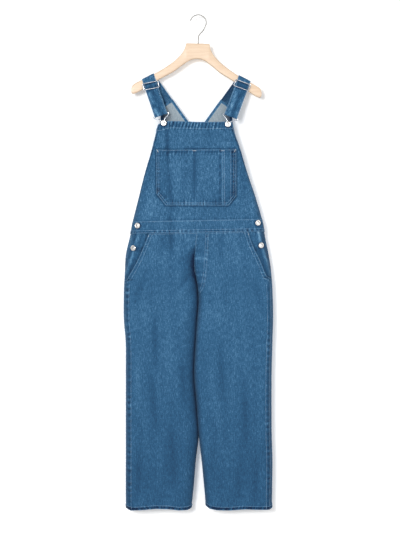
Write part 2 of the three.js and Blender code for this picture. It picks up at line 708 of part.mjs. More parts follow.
// Hanger body: upright sections with rounded corners, from one tip to the other
const hangerHalf = table(['x', 'top', 'low'], [
  [0, -86.3, -133.3],
  [18, -86.3, -136.6],
  [33.2, -86.3, -145.5],
  [36, -87.3, -147.4],
  [39.7, -102.8, -150.2],
  [49.7, -120.5, -157.6],
  [70.2, -141.8, -173.9],
  [94, -160.0, -187.8],
  [118.3, -175.7, -202.2],
  [142, -189.8, -217.2],
  [160.4, -199.6, -229.4],
  [176, -206.6, -239.0],
  [188, -213.4, -244.6],
  [195, -219.6, -245.4],
  [198.6, -228.4, -240.6],
]);
function hangerGeometry() {
  const stations = [...hangerHalf.slice(1).reverse().map((row) => ({ ...row, x: -row.x })), ...hangerHalf];
  const reach = hangerThickness / 2 - hangerRounding;
  const corners = [[1, 1, 0], [-1, 1, 90], [-1, -1, 180], [1, -1, 270]];
  const rings = stations.map(({ x, top, low }) => corners.flatMap(([alongY, alongZ, from]) => {
    const centreZ = (top + low) / 2 + alongZ * ((top - low) / 2 - hangerRounding);
    return arc(alongY * reach, centreZ, hangerRounding, from, from + 90, 2)
      .map(([y, z]) => new THREE.Vector3(x, y, z));
  }));
  const size = rings[0].length;
  const triangles = [];
  for (let i = 0; i < rings.length - 1; i += 1) {
    for (let k = 0; k < size; k += 1) {
      const a = i * size + k;
      const b = i * size + ((k + 1) % size);
      triangles.push([a, b, b + size], [a, b + size, a + size]);
    }
  }
  const lastRing = (rings.length - 1) * size;
  for (let k = 1; k < size - 1; k += 1) {
    triangles.push([0, k + 1, k], [lastRing, lastRing + k, lastRing + k + 1]);
  }
  return closedGeometry(rings.flat(), triangles);
}
const hanger = add('hanger_body', hangerGeometry(), birch);
hanger.rotation.y = radians(hangerTilt);

// Hook: from its tip over the top, then in to the stem
const hookLine = [...arc(hookCentre[0], hookCentre[1], hookRadius, 163, -32, 14),
  [12.5, -48], [4.2, -56.5], [-0.4, -65], [-1.2, -76], [-1.4, -86]];
const hookCurve = new THREE.CatmullRomCurve3(hookLine.map(([x, z]) => new THREE.Vector3(x, 0, z)));
add('hanger_hook', turnedOut(wireAlong(hookCurve, hookWire, 8, 32)), silver);

export default dungarees;
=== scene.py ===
import math

import bmesh
import bpy
import numpy as np
from mathutils import Matrix, Vector
from mathutils.bvhtree import BVHTree


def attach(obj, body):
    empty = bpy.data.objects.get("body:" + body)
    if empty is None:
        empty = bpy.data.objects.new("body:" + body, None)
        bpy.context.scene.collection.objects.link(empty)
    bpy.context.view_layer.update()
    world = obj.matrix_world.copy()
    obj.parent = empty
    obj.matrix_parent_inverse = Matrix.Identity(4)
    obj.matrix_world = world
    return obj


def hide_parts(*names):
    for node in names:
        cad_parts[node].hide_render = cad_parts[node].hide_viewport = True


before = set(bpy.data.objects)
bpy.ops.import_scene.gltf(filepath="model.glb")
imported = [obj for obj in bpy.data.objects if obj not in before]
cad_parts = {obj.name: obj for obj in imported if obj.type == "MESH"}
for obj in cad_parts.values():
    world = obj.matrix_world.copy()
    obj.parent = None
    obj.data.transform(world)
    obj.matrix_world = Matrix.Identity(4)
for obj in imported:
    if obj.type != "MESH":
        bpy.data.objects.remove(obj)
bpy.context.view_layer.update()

# Sizes are millimetres, +Z up, and the front faces -Y. Meshes are made in metres.
MM = 0.001
FRONT = -1
BACK = 1

# Cloth
CLOTH_WALL = 1.2
POCKET_WALL = 1.1
STRAP_WALL = 2.0
LAYER_GAP = 0.35
SEAM_GAP = 0.15
SEAM_LAP = 4
BAND_LIFT = 1.45
CELL = 3.4
LEVEL_STEP = 4.0
REACH = 230
THREAD_LIFT = 0.12
WEAR_AND_SHADE_LIMIT = 1.2
CLOTH_SHARP, SOLID_SHARP = math.radians(50), math.radians(38)

# Left and right are the photo's
SIGN = {"left": -1, "right": 1}
SEEDS = {("front", "left"): 50, ("front", "right"): 60, ("back", "left"): 70, ("back", "right"): 80,
         ("strap", "left"): 100, ("strap", "right"): 104}
TOPSTITCH_SEED = 20
TACK_SEED = 60

# Waist, hips and legs
LEG_MIDDLE = {"left": -115, "right": 110}
FACING_MIDDLE = {"left": -200, "right": 195}
FOLD_TOP = -690
FLY_TOP, FLY_BOTTOM = -665.0, -851.0
OUTSEAM_SPAN = (-822, -1499)
CROTCH = -868
SIDE_ROLL = 24
BIB_ROLL = 20
INNER_ROLL = {(FRONT, "left"): 45, (FRONT, "right"): 18, (BACK, "left"): 30, (BACK, "right"): 26}

# Straps, sliders and clips
STRAP_WIDTH = 40
STRAP_COLUMNS = 25
STRAP_BEND = 7.6
STRAP_SEAM = -266
SLIDER_PITCH = 9.7
RUN_DEPTH = -9.7
WIRE_RADIUS = 1.3
WIRE_GAP = 0.55
CLIP_GAP = 0.8
BUTTON_DROP = 27.5
BIB_CAP, BIB_SHANK = 8.7, 3.9
SIDE_CAP, SIDE_SHANK = 8.4, 1.6
# Each hip button: its node, the cloth that carries it, and its place
SIDE_BUTTONS = [("side_button_left_upper", "waistband_front", -184.8, -642),
                ("side_button_left_lower", "pocket_facing_left", -197.3, -710),
                ("side_button_right_upper", "waistband_front", 179, -633.5),
                ("side_button_right_lower", "pocket_facing_right", 188.5, -701.8)]
STRAPS = {
    "left": dict(side=-1, top=(-154.8, -186.4), fold_slope=27, run_angle=18.8, slider_at=20.6,
                 clip_at=124.8, seam_at=103, slider_tilt=-7.6),
    "right": dict(side=1, top=(140, -192.1), fold_slope=28, run_angle=20.2, slider_at=13.6,
                  clip_at=123.6, seam_at=99, slider_tilt=0),
}

# Hanger
HANGER_THICKNESS = 12
HANGER_ROUNDING = 5
HANGER_TILT = 1.7
HOOK_WIRE = 1.75
HOOK_RADIUS = 24.4
HOOK_CENTRE = (-1.5, -22.9)


def table(names, rows):
    """Rows of numbers as dictionaries with named columns."""
    return [dict(zip(names.split(), row)) for row in rows]


FRONT_OUTLINE = table("z left right", [
    (-320, -117.0, 96.5), (-350, -127.2, 106.1), (-411, -142.4, 126.9), (-484, -163.8, 148.8),
    (-557, -182.1, 173.2), (-630, -200.4, 194.6), (-667, -207.4, 200.7), (-728, -221.7, 212.9),
    (-777, -224.8, 220.5), (-850, -227.8, 225.1), (-923, -227.8, 226.6), (-996, -222.3, 224.5),
    (-1094, -221.7, 222.0), (-1265, -221.7, 222.0), (-1362, -221.7, 224.5), (-1484, -221.7, 223.0),
    (-1510, -220.5, 224.5),
])
BACK_OUTLINE = table("z left right", [
    (-240, -110.0, 99.0), (-282, -114.0, 100.4), (-334, -119.5, 105.5), (-411, -139.5, 124.0),
    (-484, -161.0, 146.0), (-557, -179.5, 170.5), (-630, -200.4, 194.6),
])
DEPTHS = table("z front front_side back back_side", [
    (-240, -20, -17, 9.6, 9.6), (-330, -21, -17, 11, 10), (-420, -23, -14, 13, 10), (-550, -27, -7, 18, 6),
    (-620, -31, -0.3, 23, 0.3), (-667, -33, -0.3, 27, 0.3), (-760, -37, -0.3, 35, 0.3),
    (-868, -38, -0.3, 34, 0.3), (-1090, -37, -0.3, 31, 0.3), (-1510, -33, -0.3, 28, 0.3),
])
INNER_EDGES = table("z left right", [
    (-667, -3.0, -2.7), (-700, -7.0, -6.6), (-765, -12.0, -11.3), (-853, -0.8, 0.0), (-960, -7.5, -6.6),
    (-1091, -14.2, -13.2), (-1192, -7.0, -5.5), (-1277, -1.8, 0.3), (-1362, -9.8, 10.1),
    (-1436, -15.9, 17.1), (-1510, -23.5, 23.8),
])
OPENINGS = {
    "left": table("z x", [(-655, -147.0), (-672, -152.8), (-747, -184.8), (-809, -219.3)]),
    "right": table("z x", [(-650, 146.5), (-665.5, 151.0), (-708, 166.2), (-751, 187.6), (-796, 206.8),
                           (-803, 222.0)]),
}
FLY_EDGE = table("z x", [(-655, 32), (-667, 31.4), (-791, 23.8), (-826, 17), (-842, 9), (-853, 0.5)])

# Edges as [x, z] points from left to right
WAIST_TOP = [(-200, -629), (194, -621)]
WAIST_BOTTOM = [(-207, -667), (200, -660)]
BIB_TOP = [(-119.6, -333), (-103, -327), (-85.7, -324), (7.6, -327.3), (98.5, -326)]
POCKET_TOP = [(-128.7, -411.5), (114.4, -409.5)]
POCKET_BOTTOM = [(-128.7, -545.6), (-99.7, -581.3), (90.9, -581.6), (114.4, -552.7)]
HEMS = {
    (FRONT, "left"): [(-220.5, -1500), (-205, -1505), (-175, -1504), (-130, -1500), (-92, -1501), (-60, -1504.8),
                      (-34, -1504.5), (-23.5, -1501)],
    (FRONT, "right"): [(24, -1494), (35, -1500), (55, -1504), (92, -1505), (140, -1501.5), (186, -1503),
                       (214, -1503), (224.5, -1499)],
    (BACK, "left"): [(-220.5, -1501), (-120, -1504), (-23.5, -1501)],
    (BACK, "right"): [(24, -1494.5), (35, -1499), (55, -1502), (120, -1503.5), (224.5, -1500)],
}

# Broad soft folds: a positive depth sinks into the cloth
FOLD_COLUMNS = "top_x top_z low_x low_z half_width depth"
BROAD_FOLDS = {
    FRONT: table(FOLD_COLUMNS, [
        (-90, -345, -84, -610, 24, 3.0), (-10, -430, -12, -600, 24, 2.4), (60, -345, 66, -600, 26, 1.8),
        (-76, -640, -70, -790, 24, 3.4), (-122, -650, -136, -800, 22, -2.4), (95, -690, 70, -860, 24, 2.4),
        (-128, -880, -122, -1290, 22, 4.5), (-70, -900, -60, -1330, 22, -3.0), (90, -900, 100, -1300, 24, 3.4),
        (150, -960, 158, -1400, 22, -3.0), (-160, -1180, -150, -1490, 20, 3.0), (55, -1240, 62, -1495, 16, 3.0),
    ]),
    BACK: table(FOLD_COLUMNS, [
        (-70, -390, -95, -610, 18, 3.0), (75, -400, 100, -600, 16, 2.6), (-110, -800, -95, -1060, 24, 4.0),
        (105, -790, 88, -1120, 22, 4.5), (-60, -930, -70, -1360, 20, -3.0), (70, -1000, 62, -1400, 20, -3.2),
        (-150, -1120, -142, -1480, 22, 3.6), (158, -1180, 150, -1490, 20, 3.0),
    ]),
}

# Smaller creases, placed one by one: each runs from one point to another on the cloth
CREASE_COLUMNS = "x0 z0 x1 z1 half_width depth"
CREASES = {
    FRONT: table(CREASE_COLUMNS, [
        (-97, -338, -92, -480, 4.5, 3.2), (-78, -340, -80, -455, 7, -0.9), (-93, -465, -82, -600, 7, 2.6),
        (-62, -425, -66, -560, 9, -0.9), (-12, -405, -13, -578, 6, 2.0), (4, -440, 2, -570, 8, -1.0),
        (30, -338, 28, -405, 9, 0.8), (75, -345, 88, -500, 10, -0.9), (124, -430, 150, -590, 9, 0.8),
        (-150, -480, -172, -610, 10, 0.9), (-89, -586, -80, -735, 7, 2.4), (-60, -640, -62, -760, 9, -1.2),
        (-112, -640, -108, -730, 9, 0.9), (70, -632, 64, -760, 9, 0.8), (118, -640, 110, -760, 11, -1.0),
        (-16, -700, -60, -745, 7, -1.3), (-17, -745, -72, -800, 9, -1.5), (-14, -800, -78, -880, 10, -1.6),
        (-8, -856, -70, -960, 12, -1.6), (-14, -775, -66, -842, 6, 1.2), (18, -740, 58, -790, 8, -1.0),
        (16, -800, 66, -862, 10, -1.3), (12, -862, 62, -945, 11, -1.2), (-150, -760, -196, -880, 11, 1.1),
        (158, -790, 196, -900, 11, 1.0), (-134, -905, -130, -1080, 9, 1.6), (-142, -1080, -126, -1290, 9, 1.5),
        (-100, -930, -96, -1150, 12, -1.4), (-52, -1040, -40, -1200, 9, 1.2), (-186, -1000, -180, -1230, 10, -1.1),
        (64, -980, 72, -1180, 10, 1.1), (112, -940, 116, -1130, 10, -1.2), (136, -1090, 142, -1320, 10, 1.3),
        (182, -1010, 190, -1260, 10, -1.0), (-84, -1240, -72, -1440, 10, 1.3), (-118, -1300, -112, -1480, 9, -1.1),
        (-176, -1330, -186, -1480, 9, 1.1), (84, -1290, 90, -1470, 9, -1.2), (176, -1330, 168, -1490, 9, 1.2),
        (120, -1380, 126, -1490, 8, 0.9), (-38, -1350, -50, -1490, 8, -1.0), (48, -1120, 60, -1260, 9, -1.1),
    ]),
    BACK: table(CREASE_COLUMNS, [
        (-60, -390, -78, -520, 8, 1.2), (48, -400, 66, -530, 8, 1.1), (0, -420, -6, -600, 9, -1.1),
        (-120, -480, -146, -610, 9, 1.0), (118, -470, 140, -600, 9, -0.9), (-30, -470, -34, -610, 8, 1.0),
        (-16, -690, -70, -750, 10, -1.3), (14, -700, 66, -752, 10, -1.3), (-14, -800, -80, -880, 9, 1.5),
        (12, -806, 76, -890, 9, 1.5), (-10, -850, -74, -960, 12, -1.7), (10, -856, 70, -968, 12, -1.7),
        (-100, -900, -92, -1080, 10, 1.5), (98, -900, 90, -1100, 10, 1.6), (-150, -960, -156, -1180, 11, -1.3),
        (146, -980, 154, -1210, 11, -1.3), (-58, -1080, -50, -1290, 9, 1.3), (60, -1060, 52, -1260, 9, 1.3),
        (-120, -1230, -112, -1430, 10, 1.4), (116, -1250, 108, -1450, 10, -1.3), (-178, -1280, -172, -1470, 9, 1.1),
        (178, -1300, 184, -1480, 9, 1.2), (-70, -1370, -64, -1490, 8, -1.1), (66, -1360, 76, -1490, 8, 1.1),
    ]),
}


def mix(a, b, t):
    return a + (b - a) * t


def ease(t):
    t = np.clip(t, 0, 1)
    return t * t * (3 - 2 * t)


def hump(distance, width):
    """1 at no distance, and nearly 0 at two widths."""
    return np.exp(-(distance / width) ** 2)


def at(rows, name, z):
    """A column of a table at a height, on a smooth curve through its rows, which run downwards."""
    i = 0
    while i < len(rows) - 2 and z < rows[i + 1]["z"]:
        i += 1

    def slope(j):
        above = rows[max(j - 1, 0)]
        below = rows[min(j + 1, len(rows) - 1)]
        return (below[name] - above[name]) / (below["z"] - above["z"])

    span = rows[i + 1]["z"] - rows[i]["z"]
    t = min(max((z - rows[i]["z"]) / span, 0), 1)
    start = rows[i][name] * (1 + 2 * t) * (1 - t) ** 2 + slope(i) * span * t * (1 - t) ** 2
    end = rows[i + 1][name] * t * t * (3 - 2 * t) - slope(i + 1) * span * t * t * (1 - t)
    return start + end


def fold_depth(facing, x, z):
    """How far the broad folds push the cloth in at one height."""
    depth = np.zeros_like(x)
    for fold in BROAD_FOLDS[facing]:
        along = (fold["top_z"] - z) / (fold["top_z"] - fold["low_z"])
        if 0 < along < 1:
            across = (x - mix(fold["top_x"], fold["low_x"], along)) / fold["half_width"]
            depth += fold["depth"] * math.sin(math.pi * along) * hump(across, 1)
    return depth


def crease_depth(facing, x, z):
    """How far the small creases push the cloth in, for arrays of places."""
    depth = np.zeros_like(x)
    for crease in CREASES[facing]:
        run = np.array([crease["x1"] - crease["x0"], crease["z1"] - crease["z0"]])
        length = float(np.hypot(*run))
        ux, uz = run / length
        along = ((x - crease["x0"]) * ux + (z - crease["z0"]) * uz) / length
        across = ((x - crease["x0"]) * uz - (z - crease["z0"]) * ux) / crease["half_width"]
        fade = np.sin(math.pi * np.clip(along, 0, 1)) ** 0.8
        depth += crease["depth"] * fade * hump(across, 1)
    return depth


# Levels of the cloth: the section of a layer at a height, as arrays of x and y

ROLL_TURNS = np.linspace(0, math.pi / 2, 15)[:-1]
MIDDLE_SHARES = np.linspace(0, 1, 70)


def section(z, facing, start, end, depth):
    """A level from its start edge to its end edge. Each end (x, y, roll) rolls to the layer's depth."""
    direction = 1 if end[0] > start[0] else -1
    x0 = start[0] + direction * start[2] * (1 - np.cos(ROLL_TURNS))
    y0 = mix(start[1], depth, np.sin(ROLL_TURNS))
    x1 = end[0] - direction * end[2] * (1 - np.cos(ROLL_TURNS))
    y1 = mix(end[1], depth, np.sin(ROLL_TURNS))
    middle = mix(start[0] + direction * start[2], end[0] - direction * end[2], MIDDLE_SHARES)
    x = np.concatenate([x0, middle, x1[::-1]])
    y = np.concatenate([y0, np.full_like(middle, depth), y1[::-1]])
    share = np.concatenate([np.sin(ROLL_TURNS), np.ones_like(middle), np.sin(ROLL_TURNS)[::-1]])
    return x, y - facing * share * fold_depth(facing, x, z)


def trimmed(level, from_x, to_x):
    """The stretch of a level between two places on it, in the level's own direction."""
    x, y = level
    if x[-1] < x[0]:
        low, high = to_x, from_x
        order = slice(None, None, -1)
    else:
        low, high = from_x, to_x
        order = slice(None)
    x, y = x[order], y[order]
    inside = (x > low) & (x < high)
    kept_x = np.concatenate([[low], x[inside], [high]])
    kept_y = np.concatenate([[np.interp(low, x, y)], y[inside], [np.interp(high, x, y)]])
    return kept_x[order], kept_y[order]


def front_across(z):
    """The whole front at a height."""
    y = at(DEPTHS, "front_side", z)
    roll = mix(BIB_ROLL, SIDE_ROLL, float(ease((-400 - z) / 230)))
    left, right = (at(FRONT_OUTLINE, side, z) for side in ("left", "right"))
    return section(z, FRONT, (left, y, roll), (right, y, roll), at(DEPTHS, "front", z))


def back_across(z):
    """The whole back at a height."""
    y = at(DEPTHS, "back_side", z)
    outline = BACK_OUTLINE if z > BACK_OUTLINE[-1]["z"] else FRONT_OUTLINE
    left, right = (at(outline, side, z) for side in ("left", "right"))
    return section(z, BACK, (left, y, SIDE_ROLL), (right, y, SIDE_ROLL), at(DEPTHS, "back", z))


def leg_across(z, side, facing):
    """The front or back of a leg at a height, from the side seam to its inner edge."""
    name = "front" if facing == FRONT else "back"
    depth = at(DEPTHS, name, z)
    seam = at(DEPTHS, name + "_side", z)
    fold_in = float(ease((FOLD_TOP - z) / (FOLD_TOP - CROTCH)))
    outer = (at(FRONT_OUTLINE, side, z), seam, SIDE_ROLL)
    inner = (at(INNER_EDGES, side, z), mix(depth, seam, fold_in), INNER_ROLL[facing, side])
    return section(z, facing, outer, inner, depth)


def opening_level(side):
    """The front of a leg, cut along the slanted pocket opening."""
    opening_end = OPENINGS[side][-1]["z"]

    def level(z):
        across = leg_across(z, side, FRONT)
        outer_x = across[0][0]
        if z > opening_end:
            outer_x = SIGN[side] * min(abs(at(OPENINGS[side], "x", z)), abs(outer_x))
        return trimmed(across, outer_x, across[0][-1])

    return level


def facing_share(side, z):
    return float(ease((z - OPENINGS[side][-1]["z"]) / 60))


def facing_level(side):
    """The facing behind the opening, which reaches a little past its edge."""
    def level(z):
        across = leg_across(z, side, FRONT)
        inner_x = at(OPENINGS[side], "x", z) - SIGN[side] * mix(3, 22, facing_share(side, z))
        return trimmed(across, across[0][0], inner_x)

    return level


def fly_level(z):
    across = leg_across(z, "right", FRONT)
    return trimmed(across, at(FLY_EDGE, "x", z), across[0][-1] + mix(-1.6, 1.2, float(ease((-700 - z) / 90))))


def pocket_level(z):
    return trimmed(front_across(z), POCKET_TOP[0][0], POCKET_TOP[1][0])


def edge_through(points, lift=0.0):
    xs, zs = (np.array(values, float) for values in zip(*points))
    return lambda x: float(np.interp(x, xs, zs)) + lift


# Uneven waves along seams

def value_noise(t, seed):
    values = np.random.RandomState(seed).uniform(-1, 1, 1024)
    cell = np.floor(t).astype(int)
    return mix(values[cell % 1024], values[(cell + 1) % 1024], ease(t - cell))


def seam_wave(t, pitch, seed):
    """From -1 to 1, with ridges about a pitch apart, as uneven in length and height as puckers are."""
    bend = 1.5 * value_noise(t / (1.9 * pitch), seed)
    height = 0.62 + 0.38 * value_noise(t / (1.4 * pitch), seed + 1)
    turn = 2 * math.pi * t / pitch + bend
    return (np.sin(turn) + 0.4 * np.sin(2.13 * turn + seed)) * height / 1.2


EDGES = ("start", "end", "top", "bottom")
BLOCK = 4000


class Cloth:
    """One piece of cloth as a grid of points, rows down and columns from its start edge to its end edge."""

    # Painted shadow, on the outer face and on the inner face
    shade = 0.0
    shade_inside = 0.0

    def __init__(self, level, top, bottom, facing, size, middle_x=0):
        width, height = size
        columns = np.linspace(0, 1, int(width / CELL) + 1)
        rows = np.linspace(0, 1, int(height / CELL) + 1)
        self.facing = facing
        heights = np.arange(min(map(bottom, (-REACH, -100, 0, 100, REACH))) - 8,
                            max(map(top, np.linspace(-REACH, REACH, 93))) + 12, LEVEL_STEP)
        xs, ys, across = [], [], []
        for z in heights:
            x, y = level(z)
            length = np.concatenate([[0], np.cumsum(np.hypot(np.diff(x), np.diff(y)))])
            wanted = columns * length[-1]
            xs.append(np.interp(wanted, length, x))
            ys.append(np.interp(wanted, length, y))
            direction = 1 if x[-1] > x[0] else -1
            middle = np.interp(middle_x, x[::direction], length[::direction])
            across.append((wanted - middle) * direction)
        xs, ys, across = (np.array(values) for values in (xs, ys, across))

        def end_height(j, end):
            z = end(0.0)
            for _ in range(14):
                z = end(float(np.interp(z, heights, xs[:, j])))
            return z

        tops = np.array([end_height(j, top) for j in range(len(columns))])
        bottoms = np.array([end_height(j, bottom) for j in range(len(columns))])
        z = mix(tops[None, :], bottoms[None, :], rows[:, None])
        x, y, u = (np.stack([np.interp(z[:, j], heights, values[:, j]) for j in range(len(columns))], axis=-1)
                   for values in (xs, ys, across))
        self.points = np.stack([x, y, z], axis=-1)
        self.flat = np.stack([u, z], axis=-1)
        # This holds rubbed wear and painted shade and light together: above 0 lighter, below 0 darker.
        self.wear_and_shade = np.zeros_like(x)
        self.distance, self.along = {}, {}
        self.measure({"start": self.points[:, 0], "end": self.points[:, -1],
                      "top": self.points[0], "bottom": self.points[-1]})

    @property
    def x(self):
        return self.points[..., 0]

    @property
    def z(self):
        return self.points[..., 2]

    def from_sides(self):
        return np.minimum(self.distance["start"], self.distance["end"])

    def rub_and_shade(self, distance, amount, width, offset=0, share=1):
        """Lightens a band of the cloth, or darkens it where the amount is negative. It lays both rubbed wear and
        painted shade.
        """
        self.wear_and_shade += amount * share * hump(distance - offset, width)

    def mark(self, name, corners):
        """A named line on the cloth, which seams can follow as they follow an edge."""
        self.measure({name: np.array([point for point, _ in self.line_over(corners)])})

    def measure(self, sides):
        """Each point's distance to each line, and the place along that line nearest to it."""
        flat_points = self.points.reshape(-1, 3)
        for name, line in sides.items():
            run = np.concatenate([[0], np.cumsum(np.linalg.norm(np.diff(line, axis=0), axis=1))])
            fine = np.linspace(0, run[-1], int(run[-1] / 2.5) + 2)
            dense = np.stack([np.interp(fine, run, line[:, k]) for k in range(3)], axis=-1)
            nearest = np.empty(len(flat_points))
            place = np.empty(len(flat_points))
            for begin in range(0, len(flat_points), BLOCK):
                block = flat_points[begin:begin + BLOCK]
                squares = ((block ** 2).sum(1)[:, None] + (dense ** 2).sum(1)[None, :] - 2 * block @ dense.T)
                best = squares.argmin(axis=1)
                nearest[begin:begin + BLOCK] = np.sqrt(np.maximum(squares[np.arange(len(block)), best], 0))
                place[begin:begin + BLOCK] = fine[best]
            self.distance[name] = nearest.reshape(self.wear_and_shade.shape)
            self.along[name] = place.reshape(self.wear_and_shade.shape)

    def normals(self):
        down = np.gradient(self.points, axis=0)
        across = np.gradient(self.points, axis=1)
        normal = np.cross(across, down)
        normal /= np.linalg.norm(normal, axis=-1, keepdims=True)
        middle = normal[normal.shape[0] // 2, normal.shape[1] // 2]
        return normal if middle[1] * self.facing > 0 else -normal

    def move_out(self, distance):
        self.points = self.points + self.normals() * np.asarray(distance)[..., None]

    def crease(self, weight=1.0):
        """Small creases and a slow unevenness, which die away at the seams. Painted shade darkens the creases'
        hollows, and painted light lifts their ridges a little.
        """
        x, z = self.x, self.z
        edge = ease(self.from_sides() / 14)
        slow = 0.5 * value_noise(x / 37 + 90 + 0.011 * z, 11) * value_noise(z / 83 + 300, 12)
        depth = crease_depth(self.facing, x, z)
        self.wear_and_shade -= weight * edge * (0.17 * np.clip(depth, 0, 2) + 0.07 * np.clip(depth, -1.5, 0))
        self.move_out(weight * edge * (slow - 1.45 * depth))

    def shade_round(self, x, z, radius, amount):
        """Paints a shadow round the foot of a button, darkening the cloth."""
        away = np.hypot(self.x - x - 1, self.z - z + 1.5)
        self.shade = self.shade + amount * hump(np.maximum(away - radius, 0), 2.4)

    def seams(self, rows):
        """Raised bands along edges and the puckers that the sewing draws in."""
        lift = np.zeros_like(self.wear_and_shade)
        for row in table(SEAM_COLUMNS, rows):
            distance = self.distance[row["edge"]]
            along = self.along[row["edge"]]
            wave = seam_wave(along + row["slant"] * distance, row["pitch"], row["seed"])
            wave = wave * (0.8 + 0.5 * value_noise(along / 70, row["seed"] + 2))
            reach = hump(np.maximum(distance - row["width"], 0), row["reach"])
            inside = 1 - ease((distance - row["width"]) / 2.2)
            lift += row["lift"] * inside + row["ripple"] * reach * wave
            channel = hump(distance - row["width"], 1.5) * (row["width"] > 4)
            self.wear_and_shade += row["fade"] * reach * (wave * (1 - 0.4 * channel) + row["bias"])
            self.wear_and_shade += channel * (0.3 + 0.2 * wave)
        self.move_out(lift)

    def line_beside(self, edge, inset, begin=0.0, stop=1.0):
        """Points and normals of a line at a distance from an edge."""
        points, normals = self.points, self.normals()
        distance = self.distance[edge]
        if edge in ("top", "bottom"):
            points, normals = points.transpose(1, 0, 2), normals.transpose(1, 0, 2)
            distance = distance.T
        if edge in ("end", "bottom"):
            points, normals, distance = points[:, ::-1], normals[:, ::-1], distance[:, ::-1]
        count = len(points)
        found = []
        for i in range(int(begin * count), int(math.ceil(stop * count))):
            reach = np.maximum.accumulate(distance[i])
            if reach[-1] < inset:
                continue
            j = max(int(np.searchsorted(reach, inset)), 1)
            t = min(max((inset - reach[j - 1]) / max(reach[j] - reach[j - 1], 1e-6), 0), 1)
            found.append((mix(points[i, j - 1], points[i, j], t), mix(normals[i, j - 1], normals[i, j], t)))
        return found

    def tree(self):
        rows, columns = self.wear_and_shade.shape
        index = np.arange(rows * columns).reshape(rows, columns)
        quads = np.stack([index[:-1, :-1], index[:-1, 1:], index[1:, 1:], index[1:, :-1]], -1).reshape(-1, 4)
        return BVHTree.FromPolygons(self.points.reshape(-1, 3).tolist(), quads.tolist())

    def line_over(self, corners, step=4.0):
        """Points and normals of a line through [x, z] corners, laid on the cloth from outside."""
        found, tree = [], self.tree()
        for (x0, z0), (x1, z1) in zip(corners[:-1], corners[1:]):
            count = max(int(math.hypot(x1 - x0, z1 - z0) / step), 1)
            for k in range(count + 1):
                x, z = mix(x0, x1, k / count), mix(z0, z1, k / count)
                hit, normal, _, _ = tree.ray_cast(
                    Vector((x, self.facing * 300, z)), Vector((0, -self.facing, 0)))
                if hit is None or (k == 0 and found):
                    continue
                if normal.y * self.facing < 0:
                    normal = -normal
                found.append((np.array(hit), np.array(normal)))
        return found

    def place_on(self, x, z):
        """The point of the cloth at an x and z, and its normal there."""
        return self.line_over([(x, z), (x + 0.01, z)])[0]


SEAM_COLUMNS = "edge width lift pitch ripple reach slant fade bias seed"


def shade_round_buttons(cloth, name):
    for _, carrier, x, z in SIDE_BUTTONS:
        if carrier == name:
            cloth.shade_round(x, z, SIDE_CAP, 0.7)


def make_bib():
    cloth = Cloth(front_across, edge_through(BIB_TOP), edge_through(WAIST_TOP, -SEAM_LAP), FRONT, (440, 305))
    cloth.crease()
    cloth.seams([
        ("top", 21, 1.1, 10, 1.0, 3.5, 0.25, 0.95, -0.15, 21),
        ("start", 3.5, 0.5, 7.5, 0.45, 2.5, 0.2, 0.7, -0.4, 22),
        ("end", 3.5, 0.5, 7.5, 0.45, 2.5, -0.2, 0.7, -0.4, 23),
        ("bottom", 3, 0.0, 13, 0.45, 4, 0, 0.4, -0.7, 24),
    ])
    cloth.mark("pocket", POCKET_TOP[:1] + POCKET_BOTTOM + POCKET_TOP[::-1])
    # A painted shadow round the pocket's edge
    cloth.rub_and_shade(cloth.distance["pocket"], amount=-0.7, width=2.2, offset=1)
    sides = cloth.from_sides()
    cloth.rub_and_shade(sides, amount=0.9, width=1.6)
    cloth.rub_and_shade(sides, amount=-0.5, width=2, offset=5)
    cloth.rub_and_shade(cloth.x, amount=0.13, width=24, offset=-152, share=hump(cloth.z + 590, 75))
    for sizes in STRAPS.values():
        x, z = bib_button_place(sizes)
        cloth.shade_round(x, z, BIB_CAP, 0.8)
    return cloth


def make_pocket():
    cloth = Cloth(pocket_level, edge_through(POCKET_TOP), edge_through(POCKET_BOTTOM), FRONT, (250, 172))
    cloth.crease()
    x, sides = cloth.x, cloth.from_sides()
    down, up = cloth.distance["top"], cloth.distance["bottom"]
    slack = 2.4 * ease(cloth.distance["start"] / 40) * ease(cloth.distance["end"] / 40) * ease(up / 60)
    pen_slot = 1.1 * hump(x - 70, 3) - 1.2 * hump(x - 65.5, 2.4)
    cloth.rub_and_shade(x, amount=0.15, width=3, offset=71)
    cloth.rub_and_shade(x, amount=-1, width=2.2, offset=65.5, share=0.55 + 0.4 * seam_wave(down, 24, 36))
    cloth.rub_and_shade(x, amount=0.7, width=3.5, offset=105, share=seam_wave(down, 13, 35) - 0.55)
    cloth.rub_and_shade(sides + up, amount=0.8, width=26, share=seam_wave(sides * 1.5, 9, 37) - 0.2)
    cloth.move_out(LAYER_GAP + 0.5 + POCKET_WALL + slack + pen_slot)
    cloth.seams([
        ("top", 14, 0.7, 9, 0.5, 4, 0.2, 0.8, -0.3, 31),
        ("start", 8, 0.4, 11, 0.5, 4, 0.1, 0.6, -0.45, 32),
        ("end", 8, 0.4, 11, 0.6, 6, -0.1, 0.9, -0.5, 33),
        ("bottom", 8, 0.4, 9.5, 0.8, 10, 0, 0.95, -0.3, 34),
    ])
    return cloth


def make_band(level, facing):
    cloth = Cloth(level, edge_through(WAIST_TOP), edge_through(WAIST_BOTTOM), facing, (460, 58))
    cloth.crease(0.7)
    cloth.move_out(BAND_LIFT)
    if facing == FRONT:
        shade_round_buttons(cloth, "waistband_front")
    cloth.seams([
        ("top", 0, 0.0, 14, 0.35, 8, 0, 0.3, 0, 41),
        ("bottom", 8.6, 0.3, 14, 0.7, 2.5, 0, 0.85, -0.25, 42),
    ])
    return cloth


def outseam_line(side, inset):
    """The felled side seam as it shows on the front, at a distance in from the outline."""
    return [(at(FRONT_OUTLINE, side, z) - SIGN[side] * inset, z) for z in np.linspace(*OUTSEAM_SPAN, 60)]


